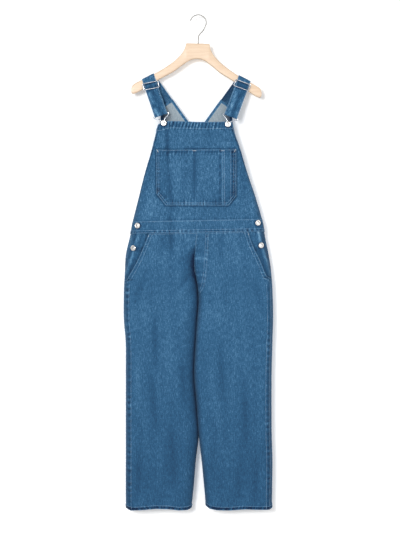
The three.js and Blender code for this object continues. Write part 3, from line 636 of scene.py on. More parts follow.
def leg_cloth(level, side, facing):
    cloth = Cloth(level, edge_through(WAIST_BOTTOM, SEAM_LAP), edge_through(HEMS[facing, side]), facing,
                  (290, 850), LEG_MIDDLE[side])
    cloth.crease()
    return cloth


def hem_seam(seed):
    return ("bottom", 10.5, 0.9, 10.5, 0.9, 3, 0.7, 0.85, -0.15, seed)


def rub_and_shade_leg(cloth, seed):
    """Painted shade that darkens the legs towards the hem, and pale rubbed edges down the side seam and along the
    hem.
    """
    cloth.wear_and_shade -= 0.2 * ease((-900 - cloth.z) / 550)
    side_wear = ease((-800 - cloth.z) / 40) * (0.7 + 0.6 * value_noise(cloth.z / 9, seed + 6))
    cloth.rub_and_shade(cloth.distance["start"], amount=0.75, width=2.2, share=side_wear)
    puckers = value_noise(cloth.x / 3.5, seed + 7)
    cloth.rub_and_shade(cloth.distance["bottom"], amount=0.9, width=1.8, share=0.5 + 0.8 * puckers)
    cloth.rub_and_shade(cloth.distance["bottom"], amount=1, width=3, offset=5, share=0.9 * puckers - 0.8)


def make_front(side):
    cloth = leg_cloth(opening_level(side), side, FRONT)
    cloth.mark("outseam", outseam_line(side, 11.5))
    seed = SEEDS["front", side]
    cloth.seams([
        ("start", 10.5, 0.3, 9, 0.5, 4, 0.5, 0.75, -0.2, seed),
        ("outseam", 6, 0.5, 19, 0.8, 2.5, 0.3, 0.62, -0.4, seed + 4),
        ("end", 0, 0.0, 40, 0.3, 9, 0.4, 0.2, 0.1, seed + 1),
        ("top", 4, 0.2, 13, 0.5, 9, 0, 0.45, 0, seed + 2),
        hem_seam(seed + 3),
    ])
    rub_and_shade_leg(cloth, seed)
    # The left leg's inner edge falls back and under the right leg's, in the fold between them. Painted shade darkens
    # both legs along the fold.
    z, inner = cloth.z, cloth.distance["end"]
    falls = ease((FOLD_TOP - z) / 70) * ease((z + 1420) / 300)
    if side == "left":
        near_fly = falls * (0.55 + 0.45 * ease((z + 960) / 120))
        cloth.rub_and_shade(inner, amount=-1.25, width=12, share=near_fly)
        cloth.rub_and_shade(inner, amount=-0.62, width=32, share=near_fly)
        cloth.points[..., 1] += 7 * falls * hump(inner, 11)
        cloth.points[..., 0] += 5.5 * falls * hump(inner, 9)
    else:
        cloth.rub_and_shade(inner, amount=-0.3, width=4, share=falls)
        cloth.points[..., 0] -= 1.6 * falls * hump(inner, 9)
    return cloth


def make_back_leg(side):
    cloth = leg_cloth(lambda z: leg_across(z, side, BACK), side, BACK)
    seed = SEEDS["back", side]
    rub_and_shade_leg(cloth, seed)
    cloth.seams([
        ("start", 0, 0.0, 32, 0.45, 11, 0.4, 0.28, 0.1, seed),
        ("end", 10, 0.6, 24, 0.4, 9, 0.4, 0.34, 0.1, seed + 1),
        ("top", 3, 0.2, 12, 0.35, 9, 0, 0.35, 0.1, seed + 2),
        hem_seam(seed + 3),
    ])
    return cloth


def make_facing(side):
    opening_end = OPENINGS[side][-1]["z"]
    cloth = Cloth(facing_level(side), edge_through(WAIST_BOTTOM, SEAM_LAP), lambda x: opening_end - 5.0,
                  FRONT, (90, 150), FACING_MIDDLE[side])
    x, z = cloth.x, cloth.z
    opening = np.array([[at(OPENINGS[side], "x", height) for height in row] for row in z])
    beyond = np.abs(x) - np.abs(opening)
    # Painted shadow under the opening's edge, where the facing also sinks in
    under = hump(beyond, 8)
    cloth.wear_and_shade -= 0.6 * under * (1 + 0.5 * value_noise(z / 17, 93))
    cloth.wear_and_shade += 0.35 * value_noise(z / 9, 94) * value_noise(x / 8, 95)
    # The wrinkles sink in, with painted shade in their hollows and painted light on their ridges
    wrinkle = sum(depth * hump(beyond - offset - 0.12 * (z + 730), 3.6)
                  for offset, depth in ((13, 0.9), (24, -0.7), (34, 0.8)))
    cloth.wear_and_shade -= 0.4 * wrinkle
    cloth.move_out(-(CLOTH_WALL + 1.2 + 1.6 * under + wrinkle) * ease((cloth.distance["start"] + 2) / 16))
    cloth.seams([
        ("start", 8, 0.3, 11, 0.35, 4, 0.4, 0.6, -0.15, 91),
        ("top", 3, 0.2, 12, 0.3, 8, 0, 0.3, 0.1, 92),
    ])
    shade_round_buttons(cloth, "pocket_facing_" + side)
    return cloth


def make_fly():
    cloth = Cloth(fly_level, lambda x: FLY_TOP, lambda x: FLY_BOTTOM, FRONT, (46, 186), 10)
    cloth.crease(0.9)
    bands = 0.3 * value_noise(cloth.z / 7, 97) * ease((-700 - cloth.z) / 40)
    cloth.wear_and_shade += bands - 0.08
    # Painted shade along the edge that lies in the fold between the legs
    cloth.rub_and_shade(cloth.distance["end"], amount=-0.3, width=5)
    cloth.move_out(LAYER_GAP + 0.4 + POCKET_WALL)
    cloth.seams([
        ("start", 3, 0.3, 13, 0.3, 6, 0.2, 0.42, 0.1, 95),
        ("end", 2, 0.2, 15, 0.3, 6, 0.2, 0.42, 0.1, 96),
    ])
    return cloth


# Straps. s runs along the strap from the fold over the hanger, positive to the front, and w across it,
# positive towards the middle.

RUN_START = STRAP_BEND * (math.pi / 2 - 1)


def strap_place(sizes, s, w, y=None):
    """The point at (s, w) on a strap, at a given depth or on the round of its fold."""
    slope = math.radians(sizes["fold_slope"])
    skew = math.radians(sizes["fold_slope"] - sizes["run_angle"])
    side = sizes["side"]
    fold_line = np.array([-side * math.cos(slope), 0, math.sin(slope)])
    down = np.array([-side * math.sin(slope), 0, -math.cos(slope)])
    along = -math.sin(skew) * s + math.cos(skew) * w
    round_fold = math.cos(skew) * s + math.sin(skew) * w
    turn = min(max(round_fold / STRAP_BEND, -math.pi / 2), math.pi / 2)
    drop = STRAP_BEND * (1 - math.cos(turn)) + max(abs(round_fold) - STRAP_BEND * math.pi / 2, 0)
    x, _, z = np.array([sizes["top"][0], 0, sizes["top"][1]]) + along * fold_line + drop * down
    return np.array([x, -STRAP_BEND * math.sin(turn) if y is None else y, z])


def bib_button_place(sizes):
    x, _, z = strap_place(sizes, sizes["clip_at"] + RUN_START + BUTTON_DROP, 0, 0)
    return x, z


def slider_slant(sizes):
    return -math.tan(math.radians(sizes["slider_tilt"]))


def strap_rows(sizes, clip_depth):
    """The strap's course: rows of (s, y or None, tilt), from its seam at the back to its sewn end."""
    rows = []
    back_depth = at(DEPTHS, "back", STRAP_SEAM) - CLOTH_WALL / 2
    wrap_end = 16
    for share in np.linspace(0, 1, 5):
        rows.append((mix(-sizes["seam_at"] + SEAM_GAP, -wrap_end - 2, share),
                     mix(back_depth, STRAP_BEND, float(ease(share))), 0))
    for share in np.linspace(0, 1, 15):
        rows.append((mix(-wrap_end, wrap_end, share), None, 0))
    tilt = slider_slant(sizes)
    over_bar = RUN_DEPTH - 2 * (WIRE_RADIUS + STRAP_WALL / 2 + WIRE_GAP)
    first = sizes["slider_at"] + RUN_START
    middle = first + SLIDER_PITCH
    last = middle + SLIDER_PITCH
    bend = 3
    rows += [(first, RUN_DEPTH, tilt), (first + bend, mix(RUN_DEPTH, over_bar, 0.2), tilt),
             (middle - bend, mix(over_bar, RUN_DEPTH, 0.2), tilt), (middle, over_bar, tilt),
             (middle + bend, mix(over_bar, RUN_DEPTH, 0.2), tilt),
             (last - bend, mix(RUN_DEPTH, over_bar, 0.2), tilt), (last, RUN_DEPTH, tilt)]
    clip = sizes["clip_at"] + RUN_START
    clip_bend = WIRE_RADIUS + WIRE_GAP + STRAP_WALL / 2
    run_shares = [0.12, 0.35, 0.6, 0.85]
    for share in run_shares:
        rows.append((mix(last, clip, share), mix(RUN_DEPTH, clip_depth - clip_bend, share),
                     tilt / 2 if share < 0.2 else 0))
    for turn in np.linspace(0, math.pi, 9):
        rows.append((clip + clip_bend * math.sin(turn), clip_depth - clip_bend * math.cos(turn), 0))
    for share in reversed(run_shares):
        behind = mix(STRAP_WALL + WIRE_GAP, 2 * clip_bend, share)
        rows.append((mix(last, clip, share), mix(RUN_DEPTH, clip_depth - clip_bend, share) + behind,
                     tilt / 2 if share < 0.2 else 0))
    end_depth = RUN_DEPTH + STRAP_WALL + WIRE_GAP
    rows += [(last, end_depth, tilt), (middle + bend, mix(end_depth, RUN_DEPTH, 0.6), tilt),
             (middle - 2, RUN_DEPTH, tilt)]
    return rows


def smooth_rows(rows, steps):
    """Rows of points on a smooth curve through the given rows."""
    smooth = []
    for i in range(len(rows) - 1):
        before, a, b, after = rows[max(i - 1, 0)], rows[i], rows[i + 1], rows[min(i + 2, len(rows) - 1)]
        for k in range(steps):
            t = k / steps
            smooth.append(0.5 * (2 * a + (b - before) * t + (2 * before - 5 * a + 4 * b - after) * t * t
                                 + (3 * a - before - 3 * b + after) * t ** 3))
    return np.array(smooth + [rows[-1]])


class Strap(Cloth):
    """A strap as a grid of points, rows along its course and columns across its width."""

    def __init__(self, sizes, clip_depth, seed):
        self.facing = FRONT
        widths = np.linspace(-1, 1, STRAP_COLUMNS) * STRAP_WIDTH / 2
        course = strap_rows(sizes, clip_depth)
        self.points = smooth_rows([np.array([strap_place(sizes, s + tilt * w, w, y) for w in widths])
                                   for s, y, tilt in course], 4)
        place = smooth_rows([np.array([s]) for s, _, _ in course], 4)
        middle = STRAP_COLUMNS // 2
        run = np.concatenate([[0], np.cumsum(np.linalg.norm(np.diff(self.points[:, middle], axis=0), axis=1))])
        across = np.broadcast_to(widths, self.points.shape[:2])
        down = np.broadcast_to(-run[:, None], self.points.shape[:2])
        self.flat = np.stack([across, down], axis=-1)
        self.wear_and_shade = np.zeros_like(across)
        self.distance = {"start": across + STRAP_WIDTH / 2, "end": STRAP_WIDTH / 2 - across,
                         "top": -down, "bottom": float(run[-1]) + down}
        self.along = {"start": -down, "end": -down, "top": across, "bottom": across}
        self.move_out(STRAP_WALL / 2)
        place = place + slider_slant(sizes) * across
        inward = sizes["side"] * across
        outgoing = (np.arange(len(place)) < np.argmax(place[:, middle]))[:, None]
        below = self.rub_strap(place, inward, outgoing, sizes)
        ripple = self.edge_ripple("start", seed) + self.edge_ripple("end", seed + 1)
        blotches = value_noise(place / 14, seed + 5)
        self.wear_and_shade += 0.6 * ripple + 0.4 * value_noise(place / 9, seed + 6) * value_noise(across / 6, seed + 7)
        self.rub_and_shade(inward, amount=0.45, width=4, offset=9, share=below * (0.6 + blotches))
        # Painted shadow on the inner face of the run down the back, darker towards the middle
        hidden = 0.5 + 0.4 * inward / (STRAP_WIDTH / 2)
        self.shade_inside = hidden * ease((-place - 8) / 30) * ease((place + 175) / 70)
        self.move_out(0.12 * ripple - 0.45 * np.exp(-self.from_sides() / 1.2))

    def rub_strap(self, place, inward, outgoing, sizes):
        """Painted shadows beside the slider's wires and between them, painted shade on the run below them, and pale
        edges. Tells how much is below.
        """
        front = outgoing * (place > 0)
        first = sizes["slider_at"] + RUN_START
        last = first + 2 * SLIDER_PITCH
        for wire_at in (first, last):
            self.rub_and_shade(place, amount=-0.7, width=2.4, offset=wire_at + 3.4, share=front)
        self.wear_and_shade -= 0.25 * front * ((place > first) & (place < last))
        below = front * ease((place - last - 4) / 12)
        self.rub_and_shade(inward, amount=-0.35, width=6, offset=-4, share=below)
        self.rub_and_shade(self.from_sides(), amount=0.8, width=1.1)
        self.rub_and_shade(self.from_sides(), amount=-0.45, width=1.2, offset=2.6)
        return below

    def edge_ripple(self, edge, seed):
        return seam_wave(self.along[edge], 12, seed) * hump(self.distance[edge], 5.5)


# Materials

class Nodes:
    """A short way to write a tree of nodes."""

    def __init__(self, tree):
        self.tree = tree

    def add(self, kind, inputs=None, **settings):
        node = self.tree.nodes.new(kind)
        for name, value in settings.items():
            setattr(node, name, value)
        for name, value in (inputs or {}).items():
            if isinstance(value, bpy.types.NodeSocket):
                self.tree.links.new(value, node.inputs[name])
            else:
                node.inputs[name].default_value = value
        return node

    def maths(self, operation, a, b, clamp=False):
        return self.add("ShaderNodeMath", {0: a, 1: b}, operation=operation, use_clamp=clamp).outputs[0]

    def plus(self, a, b, clamp=False):
        return self.maths("ADD", a, b, clamp)

    def times(self, a, b):
        return self.maths("MULTIPLY", a, b)

    def blend(self, share, a, b):
        return self.add("ShaderNodeMix", {0: share, 6: a, 7: b}, data_type="RGBA").outputs[2]

    def noise(self, vector, scale, detail=2.0, roughness=0.5):
        """Noise at one scale, or stretched by three scales for x, y and z."""
        if not isinstance(scale, float):
            vector = self.add("ShaderNodeMapping", {"Vector": vector, "Scale": scale}).outputs[0]
            scale = 1.0
        return self.add("ShaderNodeTexNoise", {
            "Vector": vector, "Scale": scale, "Detail": detail, "Roughness": roughness}).outputs["Fac"]

    def ranged(self, value, low, high, to_low=0.0, to_high=1.0):
        return self.add("ShaderNodeMapRange", {
            "Value": value, "From Min": low, "From Max": high, "To Min": to_low, "To Max": to_high}).outputs[0]


class Finish(Nodes):
    """The nodes of a new material."""

    def __init__(self, name):
        self.material = bpy.data.materials.new(name)
        self.material.use_nodes = True
        super().__init__(self.material.node_tree)
        self.tree.nodes.clear()

    def place(self):
        return self.add("ShaderNodeTexCoord").outputs["Object"]

    def cover(self, shade, roughness, height, strength, depth, **more):
        """Ends the material in a principled shader with a fine relief."""
        bump = self.add("ShaderNodeBump", {"Height": height, "Strength": strength, "Distance": depth})
        sockets = {name.replace("_", " "): value for name, value in more.items()}
        return self.end_in(self.add("ShaderNodeBsdfPrincipled", {
            "Base Color": shade, "Roughness": roughness, "Normal": bump.outputs[0], **sockets}))

    def end_in(self, shader):
        self.add("ShaderNodeOutputMaterial", {"Surface": shader.outputs[0]})
        return self.material


def colour(red, green, blue):
    """A colour given as it shows on screen, from 0 to 255."""
    linear = [((value / 255 + 0.055) / 1.055) ** 2.4 if value > 10 else value / 255 / 12.92
              for value in (red, green, blue)]
    return (*linear, 1.0)


DENIM_DARK = colour(9, 32, 62)
DENIM_MIDDLE = colour(41, 88, 125)
DENIM_LIGHT = colour(91, 138, 174)
DENIM_WHITE = colour(150, 182, 204)
INSIDE_DARK = colour(118, 134, 146)
INSIDE_LIGHT = colour(178, 190, 196)
# The denim's tones: noise at scales across and down the cloth, and how strongly it shows
DENIM_TONES = table("name across down detail roughness amount", [
    ("warp", 1500, 90, 3.0, 0.6, 0.5), ("slub", 280, 75, 2.0, 0.55, 0.46), ("weft", 150, 900, 2.0, 0.5, 0.22),
    ("speck", 350, 250, 2.0, 0.6, 0.46), ("mottle", 46, 46, 3.0, 0.6, 0.13), ("streak", 46, 5, 2.0, 0.5, 0.13),
    ("wash", 9, 9, 2.0, 0.5, 0.13),
])
RIB_AMOUNT = 0.1


def denim(name, inside):
    """Washed twill. The outside shows blue warp, the inside pale weft with blue turned edges."""
    nodes = Finish(name)
    flat = nodes.add("ShaderNodeUVMap", uv_map="cloth").outputs[0]
    wear_and_shade, edge, shade = (nodes.add("ShaderNodeAttribute", attribute_name=label).outputs["Fac"]
                         for label in ("wear_and_shade", "edge", "shade"))
    ribs = nodes.add("ShaderNodeTexWave", {
        "Vector": nodes.add("ShaderNodeMapping", {"Vector": flat, "Scale": (1, 1.7, 1)}).outputs[0],
        "Scale": 165.0, "Distortion": 1.2, "Detail": 1.0, "Detail Scale": 2.0},
        wave_type="BANDS", bands_direction="DIAGONAL").outputs["Fac"]

    tone, tones = 0.0, {}
    for row in DENIM_TONES:
        part = nodes.noise(flat, (row["across"], row["down"], 1), row["detail"], row["roughness"])
        tone = nodes.plus(tone, nodes.times(nodes.plus(part, -0.5), row["amount"]))
        tones[row["name"]] = part
    tone = nodes.plus(tone, nodes.times(nodes.plus(ribs, -0.5), RIB_AMOUNT))
    # The bib's denim is livelier than the legs', and the hems' a little more than the knees'
    height = nodes.add("ShaderNodeSeparateXYZ", {"Vector": flat}).outputs["Y"]
    tone = nodes.times(tone, nodes.ranged(height, -0.8, -0.6, 1.0, 1.27))
    tone = nodes.times(tone, nodes.ranged(height, -1.3, -0.9, 1.12, 1.0))

    # The attribute carries rubbed wear together with painted shade and light.
    lift = nodes.plus(tone, nodes.times(wear_and_shade, 0.46))
    outside = nodes.add("ShaderNodeValToRGB", {"Fac": nodes.plus(lift, 0.5)})
    ramp = outside.color_ramp.elements
    ramp[0].position, ramp[0].color = 0.0, DENIM_DARK
    ramp[1].position, ramp[1].color = 1.0, DENIM_WHITE
    for position, tint in ((0.5, DENIM_MIDDLE), (0.76, DENIM_LIGHT)):
        ramp.new(position).color = tint
    worn_edge = nodes.times(nodes.ranged(edge, 2.4, 0.6), nodes.ranged(tones["mottle"], 0.3, 0.7, 0.2, 0.8))
    result = nodes.blend(worn_edge, outside.outputs["Color"], DENIM_LIGHT)
    if inside:
        weave = nodes.plus(nodes.plus(nodes.times(tone, 1.3), 0.5), nodes.times(wear_and_shade, 0.3), clamp=True)
        turned = nodes.ranged(edge, 8.4, 8.0)
        result = nodes.blend(turned, nodes.blend(weave, INSIDE_DARK, INSIDE_LIGHT), result)
    result = nodes.blend(nodes.times(shade, 0.9), result, DENIM_DARK)

    relief = nodes.plus(nodes.times(ribs, 0.35), nodes.times(tones["warp"], 0.4))
    relief = nodes.plus(relief, nodes.times(tones["speck"], 0.5))
    return nodes.cover(result, nodes.ranged(tones["speck"], 0.3, 0.7, 0.78, 0.95), relief, 0.5, 0.0005,
                       Specular_IOR_Level=0.2, Sheen_Weight=0.04, Sheen_Roughness=0.5)


def thread_material():
    nodes = Finish("tonal_thread")
    place = nodes.place()
    fade = nodes.noise(place, 60.0, 2.0, 0.6)
    twist = nodes.noise(place, 2200.0, 1.0)
    shade = nodes.blend(nodes.ranged(fade, 0.35, 0.65), colour(98, 140, 176), colour(148, 181, 206))
    shade = nodes.blend(nodes.ranged(twist, 0.3, 0.7, 0.0, 0.25), shade, colour(82, 116, 148))
    return nodes.cover(shade, nodes.ranged(twist, 0.2, 0.8, 0.5, 0.7), twist, 0.4, 0.0002)


def tack_material():
    nodes = Finish("pale_bar_tack")
    twist = nodes.noise(nodes.place(), 1600.0, 1.0)
    shade = nodes.blend(nodes.ranged(twist, 0.3, 0.7), colour(196, 206, 212), colour(236, 240, 242))
    return nodes.cover(shade, nodes.ranged(twist, 0.2, 0.8, 0.5, 0.7), twist, 0.4, 0.0002)


def metal(name, bright, dull, roughness, brushed):
    nodes = Finish(name)
    place = nodes.place()
    scratch = nodes.noise(place, (900, 900, 160), 3.0, 0.6)
    smudge = nodes.noise(place, 120.0)
    shade = nodes.blend(nodes.ranged(smudge, 0.35, 0.7), bright, dull)
    rough = nodes.plus(nodes.ranged(scratch, 0.3, 0.7, roughness - 0.05, roughness + 0.08),
                       nodes.ranged(smudge, 0.4, 0.7, 0.0, 0.06))
    return nodes.cover(shade, rough, scratch, brushed, 0.0001, Metallic=1.0)


def birch_wood():
    nodes = Finish("pale_wood")
    place = nodes.place()
    bend = nodes.add("ShaderNodeCombineXYZ", {"Z": nodes.times(nodes.noise(place, (5, 5, 12)), 5.0)})
    stretched = nodes.add("ShaderNodeMapping", {"Vector": place, "Scale": (9, 30, 150)})
    shifted = nodes.add("ShaderNodeVectorMath", {0: stretched.outputs[0], 1: bend.outputs[0]}, operation="ADD")
    grain = nodes.noise(shifted.outputs[0], 1.0, 4.0, 0.55)
    fleck = nodes.noise(place, (70, 300, 1100), 2.0, 0.6)
    shade = nodes.blend(nodes.ranged(grain, 0.35, 0.68), colour(229, 204, 177), colour(221, 192, 162))
    shade = nodes.blend(nodes.ranged(fleck, 0.58, 0.72, 0.0, 0.35), shade, colour(198, 164, 130))
    return nodes.cover(shade, nodes.ranged(fleck, 0.3, 0.7, 0.36, 0.5), grain, 0.15, 0.0004,
                       Coat_Weight=0.15, Coat_Roughness=0.3)


# Meshes

def show(name, data, materials=()):
    """A new object in the scene."""
    piece = bpy.data.objects.new(name, data)
    bpy.context.scene.collection.objects.link(piece)
    for material in materials:
        data.materials.append(material)
    return piece


def ring_faces(rings, sides, closed=False):
    """Faces between rings of points, each with as many sides."""
    faces = []
    for i in range(rings if closed else rings - 1):
        for k in range(sides):
            a, b = i * sides + k, i * sides + (k + 1) % sides
            c, d = (i + 1) % rings * sides + k, (i + 1) % rings * sides + (k + 1) % sides
            faces.append((a, b, d, c))
    return faces


def cloth_mesh(name, cloth, thickness, materials):
    """A closed shell: the outer face, the inner face moved in along the normals, and the cut edges."""
    rows, columns = cloth.wear_and_shade.shape
    outer = cloth.points
    inner = outer - cloth.normals() * thickness
    index = np.arange(rows * columns).reshape(rows, columns)
    layer = rows * columns
    a, b, c, d = index[:-1, :-1], index[:-1, 1:], index[1:, 1:], index[1:, :-1]
    outside = np.stack([a, b, c, d], -1).reshape(-1, 4)
    inside = np.stack([d, c, b, a], -1).reshape(-1, 4) + layer
    loop = np.concatenate([index[0, :-1], index[:-1, -1], index[-1, :0:-1], index[:0:-1, 0]])
    following = np.roll(loop, -1)
    rim = np.stack([following, loop, loop + layer, following + layer], -1)
    faces = np.concatenate([outside, inside, rim])
    points = np.concatenate([outer.reshape(-1, 3), inner.reshape(-1, 3)])
    first = points[outside[len(outside) // 2]]
    normal = np.cross(first[1] - first[0], first[2] - first[0])
    wanted = cloth.normals().reshape(-1, 3)[outside[len(outside) // 2][0]]
    if normal @ wanted < 0:
        faces = faces[:, ::-1]

    mesh = bpy.data.meshes.new(name)
    mesh.from_pydata((points * MM).tolist(), [], faces.tolist())
    flat = np.concatenate([cloth.flat.reshape(-1, 2)] * 2) * MM
    loops = np.empty(len(mesh.loops), dtype=np.int32)
    mesh.loops.foreach_get("vertex_index", loops)
    uv = mesh.uv_layers.new(name="cloth")
    uv.data.foreach_set("uv", flat[loops].astype(np.float32).ravel())
    edge = np.minimum.reduce([cloth.distance[side] for side in EDGES])
    wear_and_shade = np.clip(cloth.wear_and_shade, -WEAR_AND_SHADE_LIMIT, WEAR_AND_SHADE_LIMIT)
    shades = [np.broadcast_to(np.clip(shade, 0, 1), edge.shape) for shade in (cloth.shade, cloth.shade_inside)]
    for label, outer_values, inner_values in (("wear_and_shade", wear_and_shade, wear_and_shade), ("edge", edge, edge), ("shade", *shades)):
        data = mesh.attributes.new(label, "FLOAT", "POINT")
        data.data.foreach_set("value", np.concatenate(
            [outer_values.ravel(), inner_values.ravel()]).astype(np.float32))
    slots = np.zeros(len(faces), dtype=np.int32)
    slots[len(outside):len(outside) + len(inside)] = 1
    mesh.polygons.foreach_set("material_index", slots)
    mesh.polygons.foreach_set("use_smooth", np.ones(len(faces), dtype=bool))
    mesh.set_sharp_from_angle(angle=CLOTH_SHARP)
    mesh.update()
    return show(name, mesh, materials)


def smooth_mesh(name, points, faces, material):
    mesh = bpy.data.meshes.new(name)
    mesh.from_pydata([tuple(np.asarray(point) * MM) for point in points], [], faces)
    merged = bmesh.new()
    merged.from_mesh(mesh)
    bmesh.ops.remove_doubles(merged, verts=merged.verts, dist=1e-6)
    bmesh.ops.recalc_face_normals(merged, faces=merged.faces)
    merged.to_mesh(mesh)
    merged.free()
    mesh.polygons.foreach_set("use_smooth", [True] * len(mesh.polygons))
    mesh.set_sharp_from_angle(angle=SOLID_SHARP)
    return show(name, mesh, [material])


def arc(centre, radius, start, stop, steps):
    turns = np.radians(np.linspace(start, stop, steps + 1))
    return [(centre[0] + radius * math.cos(t), centre[1] + radius * math.sin(t)) for t in turns]


def rounded(points, closed, steps):
    """A smooth curve through flat points."""
    points = np.array(points, float)
    if closed:
        ring = np.concatenate([points[-1:], points, points[:2]])
        return smooth_rows(list(ring), steps)[steps:steps * (len(points) + 1)]
    return smooth_rows(list(points), steps)


def wire(line, radius, closed, sides=14):
    """Points and faces of a round wire along a line of [x, z] points, with rounded ends where it is open."""
    line = np.array(line, float)
    count = len(line)
    if closed:
        tangent = np.roll(line, -1, axis=0) - np.roll(line, 1, axis=0)
    else:
        tangent = np.gradient(line, axis=0)
    tangent /= np.linalg.norm(tangent, axis=1, keepdims=True)
    rings = [(line[i], tangent[i], radius) for i in range(count)]
    if not closed:
        cap = [(math.cos(t), math.sin(t)) for t in np.radians([75, 50, 25])]
        front_cap = [(line[0] - tangent[0] * radius * out, tangent[0], radius * size)
                     for size, out in cap]
        end_cap = [(line[-1] + tangent[-1] * radius * out, tangent[-1], radius * size)
                   for size, out in reversed(cap)]
        rings = front_cap + rings + end_cap
    points = []
    for (x, z), (tx, tz), size in rings:
        for k in range(sides):
            turn = 2 * math.pi * k / sides
            out = size * math.cos(turn)
            points.append((x + tz * out, size * math.sin(turn), z - tx * out))
    total = len(rings)
    faces = ring_faces(total, sides, closed)
    if not closed:
        faces.append(tuple(range(sides)))
        faces.append(tuple(range(total * sides - 1, (total - 1) * sides - 1, -1)))
    return points, faces


def turned(points, angle, place):
    """Points turned about Y by an angle in degrees, clockwise as seen from the front, then moved."""
    spin = np.array(Matrix.Rotation(math.radians(angle), 3, "Y"))
    return [spin @ np.array(point) + np.array(place) for point in points]


def joined(*parts):
    points, faces = [], []
    for part_points, part_faces in parts:
        faces += [tuple(index + len(points) for index in face) for face in part_faces]
        points += list(part_points)
    return points, faces


def lathe(outline, steps):
    """Points and faces of a turned body about Y. Its outline of (radius, y) starts and ends on the axis."""
    points = []
    for radius, y in outline[1:-1]:
        for k in range(steps):
            turn = 2 * math.pi * k / steps
            points.append((radius * math.cos(turn), y, radius * math.sin(turn)))
    faces = ring_faces(len(outline) - 2, steps)
    start, end = len(points), len(points) + 1
    last = start - steps
    points += [(0, outline[0][1], 0), (0, outline[-1][1], 0)]
    for k in range(steps):
        faces.append((start, (k + 1) % steps, k))
        faces.append((end, last + k, last + (k + 1) % steps))
    return points, faces


def button(name, cap_radius, shank, place, normal, material):
    """A cap with a rolled rim and a shallow dished middle, on a shank that is sewn through the cloth."""
    r = cap_radius
    outline = [(0, 0.25), (3.7, 0.25), (3.7, -0.3), (2.9, -0.8), (2.9, -shank + 0.3), (r - 1.4, -shank - 0.1),
               (r - 0.4, -shank - 0.5), (r, -shank - 1.2), (r - 0.35, -shank - 1.9), (r - 1.1, -shank - 2.35),
               (r - 2.0, -shank - 2.3), (r - 2.7, -shank - 1.95), (r - 3.3, -shank - 2.05),
               (r * 0.42, -shank - 2.5), (r * 0.2, -shank - 2.65), (0, -shank - 2.7)]
    points, faces = lathe(outline, 32)
    spin = np.array(Matrix.Rotation(math.atan2(normal[0], -normal[1]), 3, "Z"))
    points = [spin @ np.array(point) + np.array(place) for point in points]
    return smooth_mesh(name, points, faces, material)


def slider(name, sizes, material):
    """A rounded wire frame with a bar across its middle."""
    half_width = STRAP_WIDTH / 2 + WIRE_RADIUS + 2.4
    corner = 3.2
    reach_x, reach_z = half_width - corner, SLIDER_PITCH - corner
    frame_line = (arc((reach_x, reach_z), corner, 0, 90, 8) + arc((-reach_x, reach_z), corner, 90, 180, 8)
                  + arc((-reach_x, -reach_z), corner, 180, 270, 8) + arc((reach_x, -reach_z), corner, 270, 360, 8))
    ring = wire(frame_line, WIRE_RADIUS, True)
    bar = wire([(-half_width, 0), (-half_width / 2, 0), (half_width / 2, 0), (half_width, 0)],
               WIRE_RADIUS * 0.86, False)
    points, faces = joined(ring, bar)
    place = strap_place(sizes, sizes["slider_at"] + RUN_START + SLIDER_PITCH, 0,
                        RUN_DEPTH - WIRE_RADIUS - STRAP_WALL / 2 - WIRE_GAP)
    angle = sizes["side"] * sizes["run_angle"] - sizes["slider_tilt"]
    return smooth_mesh(name, turned(points, angle, place), faces, material)


def clip(name, sizes, clip_depth, material):
    """A wire loop that the strap runs through, narrowing to a keyhole round the button's shank."""
    half = [(STRAP_WIDTH / 2 + 2, -0.8), (STRAP_WIDTH / 2 + 3.2, -3), (STRAP_WIDTH / 2 + 2.4, -6.5), (13, -12),
            (7.4, -16), (5.7, -20.5)]
    keyhole = arc((0, -BUTTON_DROP), 5.4, 20, -200, 12)
    mirrored = [(-x, z) for x, z in reversed(half)]
    line = rounded([(-18, 0), (-6, 0), (6, 0), (18, 0)] + half + keyhole + mirrored, True, 4)
    points, faces = wire(line, WIRE_RADIUS, True)
    place = strap_place(sizes, sizes["clip_at"] + RUN_START, 0, clip_depth)
    return smooth_mesh(name, turned(points, sizes["side"] * sizes["run_angle"], place), faces, material)


def hook(material):
    """The wire from its open end over the rail and down into the wood."""
    line = arc(HOOK_CENTRE, HOOK_RADIUS, 163, -32, 24) + [(12.5, -48), (4.2, -56.5), (-0.4, -65), (-1.2, -76),
                                                          (-1.4, -86)]
    points, faces = wire(rounded(line, False, 4), HOOK_WIRE, False, 16)
    return smooth_mesh("wire_hook", points, faces, material)


HANGER_HALF = table("x top low", [
    (0, -86.3, -133.3), (18, -86.3, -136.6), (33.2, -86.3, -145.5), (36, -87.3, -147.4), (39.7, -102.8, -150.2),
    (49.7, -120.5, -157.6), (70.2, -141.8, -173.9), (94, -160.0, -187.8), (118.3, -175.7, -202.2),
    (142, -189.8, -217.2), (160.4, -199.6, -229.4), (176, -206.6, -239.0), (188, -213.4, -244.6),
    (195, -219.6, -245.4), (198.6, -228.4, -240.6),
])


